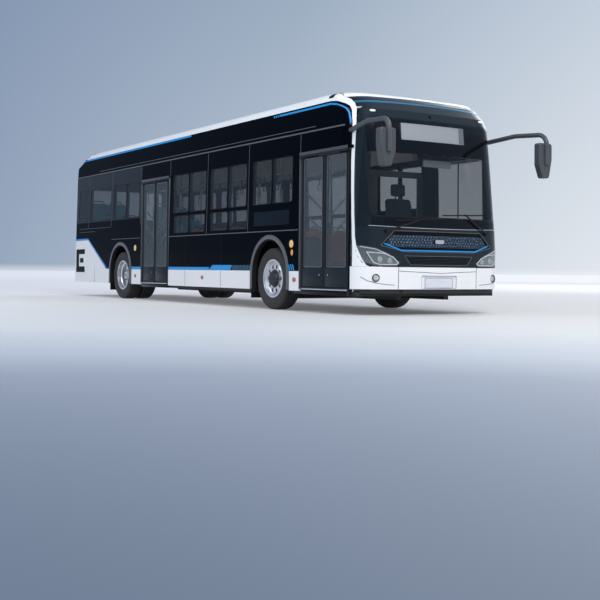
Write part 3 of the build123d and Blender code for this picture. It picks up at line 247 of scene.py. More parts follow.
class Finishes:
    """Every finish of the bus."""

    body = Finish("navy_body_paint", (0.0008, 0.0020, 0.0050), 0.18, specular=0.018, grain=Grain.PAINT)
    glass_black = Finish("black_glazing", (0.0006, 0.0012, 0.0036), 0.06, specular=0.022, grain=Grain.CLEAR)
    # The black glazing made lighter as a painted reflection, for the rear bays' field
    glass_grey = Finish("grey_glazing", (0.007, 0.010, 0.016), 0.08, specular=0.16, grain=Grain.CLEAR)
    mask = Finish("dark_front_mask", (0.010, 0.018, 0.026), 0.18, specular=0.20, grain=Grain.PAINT)
    gloss_black = Finish("gloss_black_trim", (0.002, 0.003, 0.005), 0.12, specular=0.12, grain=Grain.PAINT)
    white = Finish("cool_white_paint", (0.86, 0.88, 0.90), 0.25, grain=Grain.PAINT, vary=0.02)
    blue = Finish("accent_blue", (0.006, 0.30, 0.74), 0.3, specular=0.3, grain=Grain.PAINT, vary=0.08)
    teal = Finish("teal_edge_blue", (0.01, 0.13, 0.25), 0.25, grain=Grain.PAINT, vary=0.08)
    trim_grey = Finish("satin_grey_trim", (0.085, 0.095, 0.11), 0.35, vary=0.1)
    lintel_grey = Finish("door_lintel_grey", (0.075, 0.085, 0.10), 0.3, metallic=0.4, grain=Grain.BRUSHED)
    seal = Finish("black_rubber_seal", (0.008, 0.009, 0.011), 0.6, specular=0.25, grain=Grain.RUBBER)
    side_glass = Finish("tinted_side_glass", (0.010, 0.016, 0.024), 0.04, specular=0.44, grain=Grain.CLEAR,
                        alpha=0.28)
    door_glass = Finish("door_glass", (0.006, 0.010, 0.016), 0.04, specular=0.10, grain=Grain.CLEAR,
                        alpha=0.50)
    screen_glass = Finish("windshield_glass", (0.018, 0.028, 0.040), 0.03, specular=0.25, grain=Grain.CLEAR,
                          alpha=0.16)
    lamp_cover = Finish("clear_lamp_cover", (0.35, 0.40, 0.44), 0.05, specular=0.9, grain=Grain.CLEAR,
                        alpha=0.14)
    chrome = Finish("lamp_reflector", (0.62, 0.65, 0.68), 0.10, metallic=1.0, grain=Grain.CLEAR, vary=0.05)
    lamp_dark = Finish("lamp_housing", (0.045, 0.055, 0.065), 0.3)
    lamp_white = Finish("white_light_guide", (0.80, 0.84, 0.88), 0.2, glow=0.15)
    lens_glass = Finish("projector_lens", (0.45, 0.50, 0.55), 0.03, specular=1.0, grain=Grain.CLEAR)
    amber = Finish("amber_lens", (0.85, 0.30, 0.05), 0.15, grain=Grain.CLEAR, glow=0.08)
    straw = Finish("straw_lens", (0.82, 0.55, 0.22), 0.15, grain=Grain.CLEAR, glow=0.08)
    red = Finish("red_lens", (0.45, 0.015, 0.012), 0.12, grain=Grain.CLEAR, glow=0.05)
    coral = Finish("coral_marker_lens", (0.62, 0.13, 0.07), 0.2, grain=Grain.CLEAR)
    display = Finish("display_glass", (0.003, 0.009, 0.016), 0.12, specular=0.08, grain=Grain.CLEAR, vary=0.3)
    # The sign face is unlit; its glow is painted light that brightens it behind the windshield glass
    sign = Finish("unlit_sign_face", (0.46, 0.49, 0.53), 0.5, specular=0.2, vary=0.05, glow=0.05)
    tyre = Finish("tyre_rubber", (0.021, 0.024, 0.029), 0.62, specular=0.3, grain=Grain.RUBBER, vary=0.25)
    alloy = Finish("wheel_aluminium", (0.78, 0.79, 0.82), 0.34, metallic=1.0, grain=Grain.BRUSHED, vary=0.06)
    steel = Finish("stainless_tube", (0.58, 0.58, 0.59), 0.2, metallic=1.0, grain=Grain.BRUSHED)
    nut = Finish("plated_nut", (0.35, 0.36, 0.38), 0.32, metallic=1.0)
    hub = Finish("dark_hub", (0.045, 0.048, 0.055), 0.42, metallic=0.6, grain=Grain.CAST)
    iron = Finish("chassis_black", (0.016, 0.017, 0.019), 0.6, grain=Grain.CAST)
    liner = Finish("arch_liner", (0.010, 0.011, 0.013), 0.75, specular=0.2, grain=Grain.MOULDED)
    # The arch flare's grey is partly the trim's own colour and partly a painted highlight, spread over the
    # whole ring
    flare = Finish("arch_flare_grey", (0.095, 0.105, 0.12), 0.36, grain=Grain.MOULDED)
    mirror_case = Finish("mirror_case", (0.050, 0.058, 0.068), 0.38, grain=Grain.MOULDED)
    mirror_glass = Finish("mirror_glass", (0.75, 0.78, 0.80), 0.02, metallic=1.0, grain=Grain.CLEAR,
                          vary=0.02)
    dash = Finish("dash_moulding", (0.030, 0.038, 0.052), 0.5, grain=Grain.MOULDED)
    silver_trim = Finish("silver_dash_trim", (0.55, 0.57, 0.60), 0.25, metallic=0.9)
    screen_dark = Finish("blank_screen", (0.008, 0.012, 0.022), 0.08, grain=Grain.CLEAR)
    leather = Finish("wheel_leather", (0.018, 0.022, 0.030), 0.45, grain=Grain.WOVEN)
    cloth = Finish("driver_seat_cloth", (0.055, 0.065, 0.085), 0.85, grain=Grain.WOVEN)
    orange = Finish("orange_seat_shell", (0.85, 0.30, 0.03), 0.35)
    cyan = Finish("cyan_seat_shell", (0.02, 0.42, 0.58), 0.35)
    yellow = Finish("safety_yellow", (0.85, 0.55, 0.02), 0.4)
    floor = Finish("floor_covering", (0.11, 0.12, 0.13), 0.6, grain=Grain.CAST, vary=0.2)
    lining = Finish("ceiling_lining", (0.74, 0.75, 0.77), 0.5, vary=0.04)
    duct = Finish("cream_duct", (0.76, 0.74, 0.69), 0.45, vary=0.04)
    panel = Finish("partition_panel", (0.16, 0.18, 0.20), 0.45)
    unit = Finish("roof_unit_cover", (0.68, 0.70, 0.73), 0.42, vary=0.04)
    door = Finish("door_frame_black", (0.008, 0.012, 0.018), 0.3, specular=0.06, grain=Grain.PAINT)
    alloy_dark = Finish("hub_cover_grey", (0.30, 0.31, 0.33), 0.35, metallic=0.8, grain=Grain.CAST)
    slate = Finish("door_foot_slate", (0.016, 0.023, 0.032), 0.3, specular=0.10, grain=Grain.PAINT)
    stud = Finish("grille_stud_silver", (0.16, 0.26, 0.40), 0.25, metallic=0.6)
    blue_grey = Finish("grille_fine_blue", (0.05, 0.11, 0.20), 0.3, metallic=0.4)
    plate = Finish("blank_plate_white", (0.70, 0.73, 0.80), 0.35, vary=0.02)
    sign_shade = Finish("sign_edge_grey", (0.22, 0.24, 0.27), 0.5, specular=0.2)
    guide = Finish("lamp_guide_grey", (0.46, 0.50, 0.54), 0.25)
    bowl = Finish("lamp_bowl_grey", (0.11, 0.125, 0.14), 0.35, metallic=0.5, vary=0.05)
    tube_light = Finish("ceiling_light_cover", (0.86, 0.88, 0.90), 0.4, glow=0.9, vary=0.02)
    shade = Finish("pale_roller_blind", (0.62, 0.66, 0.70), 0.7, grain=Grain.WOVEN, vary=0.06)
    hammer = Finish("hammer_red", (0.60, 0.02, 0.02), 0.35)
    mat = Finish("yellow_entry_mat", (0.62, 0.42, 0.03), 0.7, grain=Grain.CAST)
    grip = Finish("black_rail_grip", (0.012, 0.013, 0.015), 0.5, grain=Grain.RUBBER)
    frit = Finish("black_glass_edge", (0.002, 0.004, 0.008), 0.08, specular=0.15, grain=Grain.CLEAR)


def painted(node: str, finish: Finish) -> None:
    """Give a construction node its finish.

    Args:
        node: The node's name.
        finish: The finish that it takes.
    """
    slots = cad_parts[node].data.materials
    slots.clear()
    slots.append(finish.material())


@dataclass
class Form:
    """Points and faces of a piece before it becomes a mesh."""

    points: list[Array] = field(default_factory=list)
    faces: list[Array] = field(default_factory=list)
    count: int = 0

    def add(self, points: Array, faces: Array) -> "Form":
        """Append points and the faces between them.

        Args:
            points: Rows of x, y and z.
            faces: Rows of three or four indices into these points.

        Returns:
            The form itself.
        """
        self.points.append(np.asarray(points, float).reshape(-1, 3))
        self.faces.append(np.asarray(faces, int) + self.count)
        self.count += len(self.points[-1])
        return self

    def grid(self, points: Array, around: bool = False, along: bool = False) -> "Form":
        """Append a surface given as a grid of points.

        Args:
            points: Points by row and column.
            around: Join the last column to the first.
            along: Join the last row to the first.

        Returns:
            The form itself.
        """
        rows, columns = points.shape[:2]
        index = np.arange(rows * columns).reshape(rows, columns)
        index = np.concatenate([index, index[:, :1]], axis=1) if around else index
        index = np.concatenate([index, index[:1]], axis=0) if along else index
        quads = stacked(index[:-1, :-1], index[1:, :-1], index[1:, 1:], index[:-1, 1:])
        return self.add(points.reshape(-1, 3), quads.reshape(-1, 4))

    def cap(self, ring: Array) -> "Form":
        """Close a ring of points with a fan about its middle.

        Args:
            ring: The ring's points in order.

        Returns:
            The form itself.
        """
        index = np.arange(len(ring))
        fan = stacked(index, np.roll(index, -1), len(ring))
        return self.add(np.vstack([ring, ring.mean(axis=0)]), fan)

    def join(self, *others: "Form") -> "Form":
        """Append other forms.

        Args:
            others: The forms to take in.

        Returns:
            The form itself.
        """
        for other in others:
            for points, faces in zip(other.points, other.shifted()):
                self.add(points, faces)
        return self

    def shifted(self) -> list[Array]:
        """Return each block of faces counted from its own block of points."""
        starts = np.cumsum([0] + [len(points) for points in self.points[:-1]])
        return [faces - start for faces, start in zip(self.faces, starts)]

    def moved(self, change: Callable[[Array], Array]) -> "Form":
        """Return a copy whose points a function has changed.

        Args:
            change: Takes rows of points and gives the new rows.

        Returns:
            The new form.
        """
        made = Form()
        for points, faces in zip(self.points, self.shifted()):
            made.add(change(points), faces)
        return made

    def mirrored(self) -> "Form":
        """Return a copy on the other side of the middle plane."""
        return self.moved(lambda points: points * np.array([1.0, -1.0, 1.0]))

    def piece(self, name: str, finish: Finish, body: str = "root", smooth: float = 35.0) -> bpy.types.Object:
        """Make the mesh object, closed, facing outwards, and riding on a body.

        Stations become the frame's own x here, so that the object itself stays at the origin.

        Args:
            name: The piece's name.
            finish: Its finish.
            body: The body that carries it.
            smooth: Edges that turn by more than this many degrees stay sharp.

        Returns:
            The new object.
        """
        points = np.vstack(self.points) + np.array([FRONT_AXLE, 0.0, 0.0])
        mesh = bpy.data.meshes.new(name)
        mesh.from_pydata(points.tolist(), [], [row for faces in self.faces for row in faces.tolist()])
        shape = bmesh.new()
        shape.from_mesh(mesh)
        bmesh.ops.remove_doubles(shape, verts=shape.verts, dist=0.00005)
        bmesh.ops.dissolve_degenerate(shape, edges=shape.edges, dist=0.00002)
        bmesh.ops.recalc_face_normals(shape, faces=shape.faces)
        shape.to_mesh(mesh)
        shape.free()
        mesh.shade_smooth()
        mesh.set_sharp_from_angle(angle=math.radians(smooth))
        mesh.materials.append(finish.material())
        made = bpy.data.objects.new(name, mesh)
        bpy.context.scene.collection.objects.link(made)
        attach(made, body)
        log.info("%s: %d points on %s", name, len(mesh.vertices), body)
        return made


def stacked(*columns: Array | float) -> Array:
    """Put columns side by side as rows of coordinates, with single numbers repeated to fit.

    Args:
        columns: Arrays or numbers, one for each coordinate.

    Returns:
        The points, with their coordinates on the last axis.
    """
    return np.stack(np.broadcast_arrays(*columns), axis=-1)


def unit(vectors: Array) -> Array:
    """Return vectors of length one in the same directions."""
    return vectors / np.linalg.norm(vectors, axis=-1)[..., None]


def full_turn(steps: int) -> Array:
    """Return even angles round a circle, up to the one before the first comes round again."""
    return np.linspace(0.0, 2 * math.pi, steps, endpoint=False)


def slab(top: Array, bottom: Array) -> Form:
    """A closed plate between two grids of points of the same shape.

    Args:
        top: The outer face, by row and column.
        bottom: The inner face.

    Returns:
        The plate.
    """
    def rim(face: Array) -> Array:
        """Return the points around a grid's edge in order."""
        return np.concatenate([face[0], face[1:, -1], face[-1, -2::-1], face[-2:0:-1, 0]])

    form = Form().grid(top).grid(bottom[:, ::-1])
    return form.grid(np.stack([rim(top), rim(bottom)]), around=True)


def lathe(profile: Array, centre: Point, axis: Point, steps: int = 48) -> Form:
    """A form turned about an axis: each profile point sweeps a circle.

    Args:
        profile: Rows of distance along the axis and radius, in order.
        centre: A point on the axis.
        axis: The axis's direction.
        steps: Points around the circle.

    Returns:
        The turned form, capped where it ends off the axis.
    """
    profile = np.asarray(profile, float)
    along = np.array(axis, float) / np.linalg.norm(axis)
    first = np.cross(along, [0.0, 0.0, 1.0] if abs(along[2]) < 0.9 else [1.0, 0.0, 0.0])
    first /= np.linalg.norm(first)
    second = np.cross(along, first)
    angle = full_turn(steps)
    circle = np.cos(angle)[:, None] * first + np.sin(angle)[:, None] * second
    rings = np.array(centre) + profile[:, :1, None] * along + profile[:, 1:, None] * circle
    form = Form().grid(rings, around=True)
    return form.cap(rings[0, ::-1]).cap(rings[-1])


def hoop(section: list[Flat], centre: Point, axis: Point, steps: int = 48) -> Form:
    """A ring whose closed section of distances and radii sweeps a circle about an axis.

    Args:
        section: Distance along the axis and radius of the section's corners, in order.
        centre: A point on the axis.
        axis: The axis's direction.
        steps: Points around the circle.

    Returns:
        The closed ring.
    """
    rows = np.asarray(section, float)
    turned = lathe(rows, centre, axis, steps)
    rings = turned.points[0].reshape(len(rows), steps, 3)
    return Form().grid(rings, around=True, along=True)


def tube(path: Array, radius: float | Array, steps: int = 12, flat: float = 1.0) -> Form:
    """A bar carried along a path, with its frame turned as little as possible.

    Args:
        path: Points along its middle.
        radius: One radius, or one for each point.
        steps: Points around it.
        flat: Share of the radius across the second direction.

    Returns:
        The closed bar.
    """
    path = np.asarray(path, float)
    ahead = unit(np.gradient(path, axis=0))
    up = np.array([0.0, 0.0, 1.0]) if abs(ahead[0, 2]) < 0.9 else np.array([1.0, 0.0, 0.0])
    across = np.cross(ahead, up)
    across /= np.linalg.norm(across, axis=1)[:, None] + 1e-12
    upward = np.cross(across, ahead)
    angle = full_turn(steps)
    reach = np.broadcast_to(np.asarray(radius, float), (len(path),))[:, None, None]
    cosine, sine = np.cos(angle)[None, :, None], np.sin(angle)[None, :, None]
    ring = cosine * across[:, None] + flat * sine * upward[:, None]
    rings = path[:, None] + reach * ring
    form = Form().grid(rings, around=True)
    return form.cap(rings[0, ::-1]).cap(rings[-1])


def corner_curve(before: Array, corner: Array, after: Array, radius: float, steps: int) -> Array:
    """A short curve round a corner: the square blend of a point before it, the corner and one after it.

    Args:
        before: The corner before this one.
        corner: The corner.
        after: The corner after it.
        radius: How far from the corner the curve starts and ends.
        steps: Points on the curve.

    Returns:
        The curve's points.
    """
    share = np.linspace(0.0, 1.0, steps)[:, None]
    back, on = before - corner, after - corner
    start = corner + back * min(0.5, radius / np.linalg.norm(back))
    end = corner + on * min(0.5, radius / np.linalg.norm(on))
    return (1 - share) ** 2 * start + 2 * share * (1 - share) * corner + share ** 2 * end


def bend(points: list[Point], radius: float, steps: int = 8) -> Array:
    """A path of straight runs with rounded corners.

    Args:
        points: The corners.
        radius: How far from each corner the curve starts.
        steps: Points on each curve.

    Returns:
        Points along the path.
    """
    corners = np.array(points, float)
    curves = [corner_curve(*three, radius, steps) for three in zip(corners, corners[1:], corners[2:])]
    return np.vstack([corners[:1], *curves, corners[-1:]])


def rounded_block(low: Point, high: Point, radius: float, steps: int = 4) -> Form:
    """A block with rounded edges: a sphere whose eight parts are drawn out to the corners.

    Args:
        low: Its lowest corner.
        high: Its highest corner.
        radius: The radius of its edges.
        steps: Points on each quarter turn.

    Returns:
        The closed block.
    """
    low, high = np.array(low, float), np.array(high, float)
    middle, half = (low + high) / 2, (high - low) / 2
    radius = min(radius, half.min() * 0.999)
    quarter = np.linspace(0.0, math.pi / 2, steps)
    turn = np.concatenate([quarter + k * math.pi / 2 for k in range(4)])
    sign_x = np.repeat([1, -1, -1, 1], steps)
    sign_y = np.repeat([1, 1, -1, -1], steps)
    rise = np.concatenate([quarter - math.pi / 2, quarter])
    sign_z = np.repeat([-1, 1], steps)
    flat = np.cos(rise)[:, None]
    normal = stacked(flat * np.cos(turn), flat * np.sin(turn), np.sin(rise)[:, None])
    signs = stacked(sign_x, sign_y, sign_z[:, None])
    points = middle + signs * (half - radius) + radius * normal
    return Form().grid(points, around=True).cap(points[0, ::-1]).cap(points[-1])


def block_piece(name: str, finish: Finish, low: Point, high: Point, radius: float, steps: int = 4) -> None:
    """Make one fixed block with rounded edges a piece of its own.

    Args:
        name: The piece's name.
        finish: Its finish.
        low: Its lowest corner.
        high: Its highest corner.
        radius: The radius of its edges.
        steps: Points on each quarter turn.
    """
    rounded_block(low, high, radius, steps).piece(name, finish)


def lattice(centres: Array, form: Form) -> Form:
    """Copies of one small form, at many places.

    Args:
        centres: Rows of places.
        form: The form, drawn about the origin.

    Returns:
        One form with every copy.
    """
    points = np.vstack(form.points)
    made = Form()
    offsets = np.arange(len(centres)) * len(points)
    made.points.append((np.asarray(centres)[:, None] + points[None]).reshape(-1, 3))
    for faces in form.faces:
        made.faces.append((faces[None] + offsets[:, None, None]).reshape(-1, faces.shape[1]))
    made.count = len(made.points[0])
    return made


class Level(Enum):
    """What each column of the body's level table holds, after the height."""

    FRONT = 1
    REAR = 2
    HALF_WIDTH = 3
    FRONT_RADIUS = 4
    REAR_RADIUS = 5


@dataclass(frozen=True)
class BodySkin:
    """The body's painted outer face as a function of place.

    Attributes:
        bow: How far the nose bulges over half the width.
        levels: Height, then what Level names: ends, half width and corner radii there.
    """

    bow: float = 0.085
    levels: tuple[tuple[float, ...], ...] = (
        (0.307, 2.548, -8.900, 1.275, 0.35, 0.22),
        (0.900, 2.560, -8.900, 1.275, 0.35, 0.22),
        (1.210, 2.545, -8.900, 1.270, 0.35, 0.22),
        (2.700, 2.400, -8.900, 1.243, 0.35, 0.22),
        (2.860, 2.320, -8.875, 1.240, 0.36, 0.22),
        (3.020, 2.165, -8.460, 1.231, 0.38, 0.23),
        (3.100, 2.050, -8.240, 1.193, 0.38, 0.23),
        (3.145, 1.880, -8.100, 1.115, 0.38, 0.23),
    )

    def size(self, column: Level, z: Array) -> Array:
        """One column of the level table at any heights, in straight lines between the levels.

        Args:
            column: Which column.
            z: Heights.

        Returns:
            The sizes there.
        """
        table = np.array(self.levels)
        return np.interp(z, table[:, 0], table[:, column.value])

    def nose(self, z: Array) -> tuple[Array, Array, Array, Array]:
        """The bow circle and the corner circle at a height.

        Args:
            z: Heights.

        Returns:
            The bow's centre and radius, and the corner's centre station and centre offset.
        """
        front, half = self.size(Level.FRONT, z), self.size(Level.HALF_WIDTH, z)
        corner = self.size(Level.FRONT_RADIUS, z)
        radius = (half ** 2 + self.bow ** 2) / (2 * self.bow)
        centre = front - radius
        start = centre + np.sqrt((radius - corner) ** 2 - (half - corner) ** 2)
        return centre, radius, start, half - corner

    def side(self, x: Array, z: Array) -> Array:
        """The offset of the side face: flat, then round the front and rear corners.

        Args:
            x: Stations.
            z: Heights.

        Returns:
            The half width there.
        """
        x, z = np.broadcast_arrays(np.asarray(x, float), np.asarray(z, float))
        _, _, start, inner = self.nose(z)
        corner, rear = self.size(Level.FRONT_RADIUS, z), self.size(Level.REAR_RADIUS, z)
        rear_start = self.size(Level.REAR, z) + rear
        ahead = np.clip(x - start, 0.0, corner * 0.999)
        behind = np.clip(rear_start - x, 0.0, rear * 0.999)
        return inner + np.sqrt(corner ** 2 - ahead ** 2) + np.sqrt(rear ** 2 - behind ** 2) - rear

    def front(self, y: Array, z: Array) -> Array:
        """The station of the front face: the bow, then round the corners.

        Args:
            y: Offsets.
            z: Heights.

        Returns:
            The stations there.
        """
        y, z = np.broadcast_arrays(np.abs(np.asarray(y, float)), np.asarray(z, float))
        centre, radius, start, inner = self.nose(z)
        corner = self.size(Level.FRONT_RADIUS, z)
        turn = np.arctan2(inner, start - centre)
        bow = centre + np.sqrt(np.maximum(radius ** 2 - y ** 2, 0.0))
        across = np.clip(y - inner, 0.0, corner * 0.999)
        return np.where(y < radius * np.sin(turn), bow, start + np.sqrt(corner ** 2 - across ** 2))

    def on_side(self, x: Array, z: Array, side: int, proud: float = 0.0) -> Array:
        """Points on a side face, stood off along its normal.

        Args:
            x: Stations.
            z: Heights.
            side: 1 for the driver's side, -1 for the door side.
            proud: How far they stand out.

        Returns:
            The points.
        """
        y = self.side(x, z)
        slope = (self.side(x + PROBE, z) - self.side(x - PROBE, z)) / (2 * PROBE)
        lean = (self.side(x, z + PROBE) - self.side(x, z - PROBE)) / (2 * PROBE)
        normal = unit(stacked(-slope, 1.0, -lean))
        return (stacked(x, y, z) + proud * normal) * np.array([1.0, side, 1.0])

    def on_front(self, y: Array, z: Array, proud: float = 0.0) -> Array:
        """Points on the front face, stood off along its normal.

        Args:
            y: Offsets.
            z: Heights.
            proud: How far they stand out.

        Returns:
            The points.
        """
        x = self.front(y, z)
        slope = (self.front(y + PROBE, z) - self.front(y - PROBE, z)) / (2 * PROBE)
        lean = (self.front(y, z + PROBE) - self.front(y, z - PROBE)) / (2 * PROBE)
        return stacked(x, y, z) + proud * unit(stacked(1.0, -slope, -lean))

    def face_at(self, y: float, z: float) -> float:
        """Return the station of the front face at one offset and height."""
        return float(self.front(np.array(y), np.array(z)))

    def wrapped(self, s: Array, z: Array, proud: float = 0.0) -> Array:
        """Points round a front corner, by the length walked along the plan from where it starts to turn.

        Below zero the walk is on the flat side, then it goes round the corner circle, then along the
        bow of the nose and past its middle to the other side.

        Args:
            s: Lengths walked forwards.
            z: Heights.
            proud: How far the points stand out.

        Returns:
            The points on the driver's side, with positive offsets at the corner.
        """
        s, z = np.broadcast_arrays(np.asarray(s, float), np.asarray(z, float))

        def place(walk: Array, level: Array) -> Array:
            """Return the bare points of the skin."""
            centre, radius, start, inner = self.nose(level)
            corner = self.size(Level.FRONT_RADIUS, level)
            turn = np.arctan2(inner, start - centre)
            rounded = corner * (math.pi / 2 - turn)
            angle = math.pi / 2 - np.clip(walk, 0.0, rounded) / corner
            bow = turn - np.maximum(walk - rounded, 0.0) / radius
            on_bow = walk > rounded
            x = np.where(on_bow, centre + radius * np.cos(bow),
                         start + corner * np.cos(angle) + np.minimum(walk, 0.0))
            y = np.where(on_bow, radius * np.sin(bow), inner + corner * np.sin(angle))
            return stacked(x, y, level)

        along = place(s + PROBE, z) - place(s - PROBE, z)
        upward = place(s, z + PROBE) - place(s, z - PROBE)
        return place(s, z) + proud * unit(np.cross(upward, along))

    def walked(self, points: list[Point]) -> Array:
        """The length walked and the height of points on the front corner or the nose.

        Args:
            points: Rows of station, offset from the middle plane and height.

        Returns:
            Rows of length walked and height.
        """
        x, y, z = np.array(points, float).T
        centre, radius, start, inner = self.nose(z)
        corner = self.size(Level.FRONT_RADIUS, z)
        turn = np.arctan2(inner, start - centre)
        angle = np.arctan2(y - inner, x - start)
        rounded = corner * (math.pi / 2 - turn)
        on_bow = rounded + radius * (turn - np.arcsin(np.clip(y / radius, -1.0, 1.0)))
        in_corner = corner * (math.pi / 2 - angle)
        s = np.where(x < start, x - start, np.where(angle > turn, in_corner, on_bow))
        return stacked(s, z)

    def tail(self, s: Array, z: Array, proud: float = 0.0) -> Array:
        """Points round a rear corner, by the length walked rearwards from where the side starts to turn.

        Args:
            s: Lengths walked rearwards, then inwards along the rear face.
            z: Heights.
            proud: How far the points stand out.

        Returns:
            The points on the driver's side.
        """
        s, z = np.broadcast_arrays(np.asarray(s, float), np.asarray(z, float))
        radius, rear = self.size(Level.REAR_RADIUS, z), self.size(Level.REAR, z)
        half = self.size(Level.HALF_WIDTH, z)
        angle = np.clip(s / radius, 0.0, math.pi / 2)
        past = np.maximum(s - radius * math.pi / 2, 0.0)
        x = rear + radius - (radius + proud) * np.sin(angle) + np.maximum(-s, 0.0)
        y = half - radius + (radius + proud) * np.cos(angle) - past
        return stacked(x, y, z)


SKIN = BodySkin()
Chart = Callable[[Array, Array, float], Array]


def nose_chart(side: Side) -> Chart:
    """Return the chart of one front corner and the nose: length walked and height to a point."""
    return lambda s, z, proud: SKIN.wrapped(s, z, proud) * np.array([1.0, side.value, 1.0])


def tail_chart(side: Side) -> Chart:
    """Return the chart of one rear corner: length walked and height to a point."""
    return lambda s, z, proud: SKIN.tail(s, z, proud) * np.array([1.0, side.value, 1.0])


def side_chart(side: Side) -> Chart:
    """Return the chart of one side: station and height to a point that far off the face."""
    return lambda x, z, proud: SKIN.on_side(x, z, side.value, proud)


def front_chart(y: Array, z: Array, proud: float) -> Array:
    """The chart of the front: offset and height to a point that far off the face."""
    return SKIN.on_front(y, z, proud)


def rear_chart(y: Array, z: Array, proud: float) -> Array:
    """The chart of the flat rear face: offset and height to a point that far off it."""
    return stacked(SKIN.levels[0][Level.REAR.value] - proud, y, z)


def ribbon(chart: Chart, low: Array, high: Array, proud: float = 0.0015, sink: float = 0.002,
           across: int = 4, along: int = 1) -> Form:
    """A closed plate on the skin between two edges with as many points each.

    Args:
        chart: Where the two flat coordinates lie on the body.
        low: One edge, as rows of the two coordinates.
        high: The other edge.
        proud: How far its face stands out.
        sink: How far its back lies below the face of the body.
        across: Rows of faces between the edges.
        along: Faces between two neighbouring points of an edge.

    Returns:
        The plate.
    """
    low, high = np.asarray(low, float), np.asarray(high, float)
    fine = np.linspace(0, len(low) - 1, (len(low) - 1) * along + 1)
    low, high = (stacked(*(np.interp(fine, np.arange(len(edge)), edge[:, k]) for k in (0, 1)))
                 for edge in (low, high))
    share = np.linspace(0.0, 1.0, across + 1)[:, None, None]
    flat = (1 - share) * low + share * high
    return slab(chart(flat[..., 0], flat[..., 1], proud), chart(flat[..., 0], flat[..., 1], -sink))


def panel(chart: Chart, a0: float, a1: float, z0: float, z1: float, proud: float = 0.0015,
          across: int = 2, along: int = 1, sink: float = 0.002) -> Form:
    """A plate on the skin between two places and two heights.

    Args:
        chart: Where the two flat coordinates lie on the body.
        a0: Its first place along the body.
        a1: Its second place.
        z0: Height of its foot.
        z1: Height of its head.
        proud: How far its face stands out.
        across: Rows of faces between foot and head.
        along: Faces from its first place to its second.
        sink: How far its back lies below the face of the body.

    Returns:
        The plate.
    """
    return ribbon(chart, [(a0, z0), (a1, z0)], [(a0, z1), (a1, z1)], proud, sink, across, along)


def line_on(chart: Chart, points: list[Flat] | Array, width: float, proud: float = 0.0015,
            along: int = 1) -> Form:
    """A stripe of even width on the skin, mitred at its corners.

    Args:
        chart: Where the two flat coordinates lie on the body.
        points: The stripe's middle line.
        width: Its width.
        proud: How far it stands out.
        along: Faces between two points.

    Returns:
        The stripe.
    """
    path = np.array(points, float)
    runs = unit(np.diff(path, axis=0))
    turned = stacked(-runs[:, 1], runs[:, 0])
    before, after = np.vstack([turned[:1], turned]), np.vstack([turned, turned[-1:]])
    mitre = before + after
    mitre /= np.sum(mitre * before, axis=1)[:, None]
    return ribbon(chart, path - mitre * width / 2, path + mitre * width / 2, proud, across=1, along=along)


def divided(outline: Array, longest: float = 0.06, closed: bool = True) -> Array:
    """Put points on the long edges of an outline, so that it can follow a bowed face.

    Args:
        outline: Its corners in order.
        longest: The longest edge left.
        closed: Whether the last corner joins the first one.

    Returns:
        The corners and the points between them.
    """
    rows = np.asarray(outline, float)
    ends = np.roll(rows, -1, axis=0) if closed else rows[1:]
    made = []
    for start, end in zip(rows, ends):
        count = max(1, math.ceil(float(np.linalg.norm(end - start)) / longest))
        made.append(start + np.arange(count)[:, None] / count * (end - start))
    return np.vstack(made if closed else [*made, rows[-1:]])


def shield(chart: Chart, outline: Array, proud: float, sink: float = 0.002, rings: int = 5) -> Form:
    """A closed plate on the skin inside an outline that its middle sees whole.

    Args:
        chart: Where the two flat coordinates lie on the body.
        outline: Its corners in order.
        proud: How far its face stands out.
        sink: How far its back lies below the face of the body.
        rings: Rings of faces from the middle to the edge.

    Returns:
        The plate.
    """
    edge = divided(outline)
    middle = (edge.min(axis=0) + edge.max(axis=0)) / 2
    share = np.linspace(0.02, 1.0, rings + 1)[:, None, None]
    flat = middle + share * (edge - middle)
    top = chart(flat[..., 0], flat[..., 1], proud)
    bottom = chart(flat[..., 0], flat[..., 1], -sink)
    form = Form().grid(top, around=True).grid(bottom[:, ::-1], around=True)
    form.grid(np.stack([top[-1], bottom[-1]]), around=True)
    return form.cap(top[0]).cap(bottom[0, ::-1])


def rounded_outline(points: list[Flat], radius: float, steps: int = 5) -> Array:
    """A closed outline with rounded corners.

    Args:
        points: The corners in order.
        radius: How far from each corner its curve starts.
        steps: Points on each curve.

    Returns:
        The outline's points.
    """
    corners = np.array(points, float)
    before, after = np.roll(corners, 1, axis=0), np.roll(corners, -1, axis=0)
    return np.vstack([corner_curve(*three, radius, steps) for three in zip(before, corners, after)])


def rounded_rectangle(x0: float, x1: float, z0: float, z1: float, radius: float) -> Array:
    """An upright rectangle's outline with rounded corners.

    Args:
        x0: Its first edge.
        x1: Its second edge.
        z0: Its foot.
        z1: Its head.
        radius: How far from each corner its curve starts.

    Returns:
        The outline's points, from the first edge's foot along the foot.
    """
    return rounded_outline([(x0, z0), (x1, z0), (x1, z1), (x0, z1)], radius)


def looped(outline: Array) -> Array:
    """Return an outline whose first point is given again at its end."""
    rows = np.asarray(outline, float)
    return np.vstack([rows, rows[:1]])


def bulge(foot: float, rise: float, radius: float) -> Array:
    """A lens's profile for turning: a quarter ellipse from the edge to the middle.

    Args:
        foot: Place of its edge along the axis.
        rise: How far its middle stands over its edge.
        radius: Its radius.

    Returns:
        Rows of distance along the axis and radius.
    """
    turn = np.linspace(0.0, math.pi / 2, 7)
    return stacked(foot + rise * np.sin(turn), radius * np.cos(turn) + 0.0005)


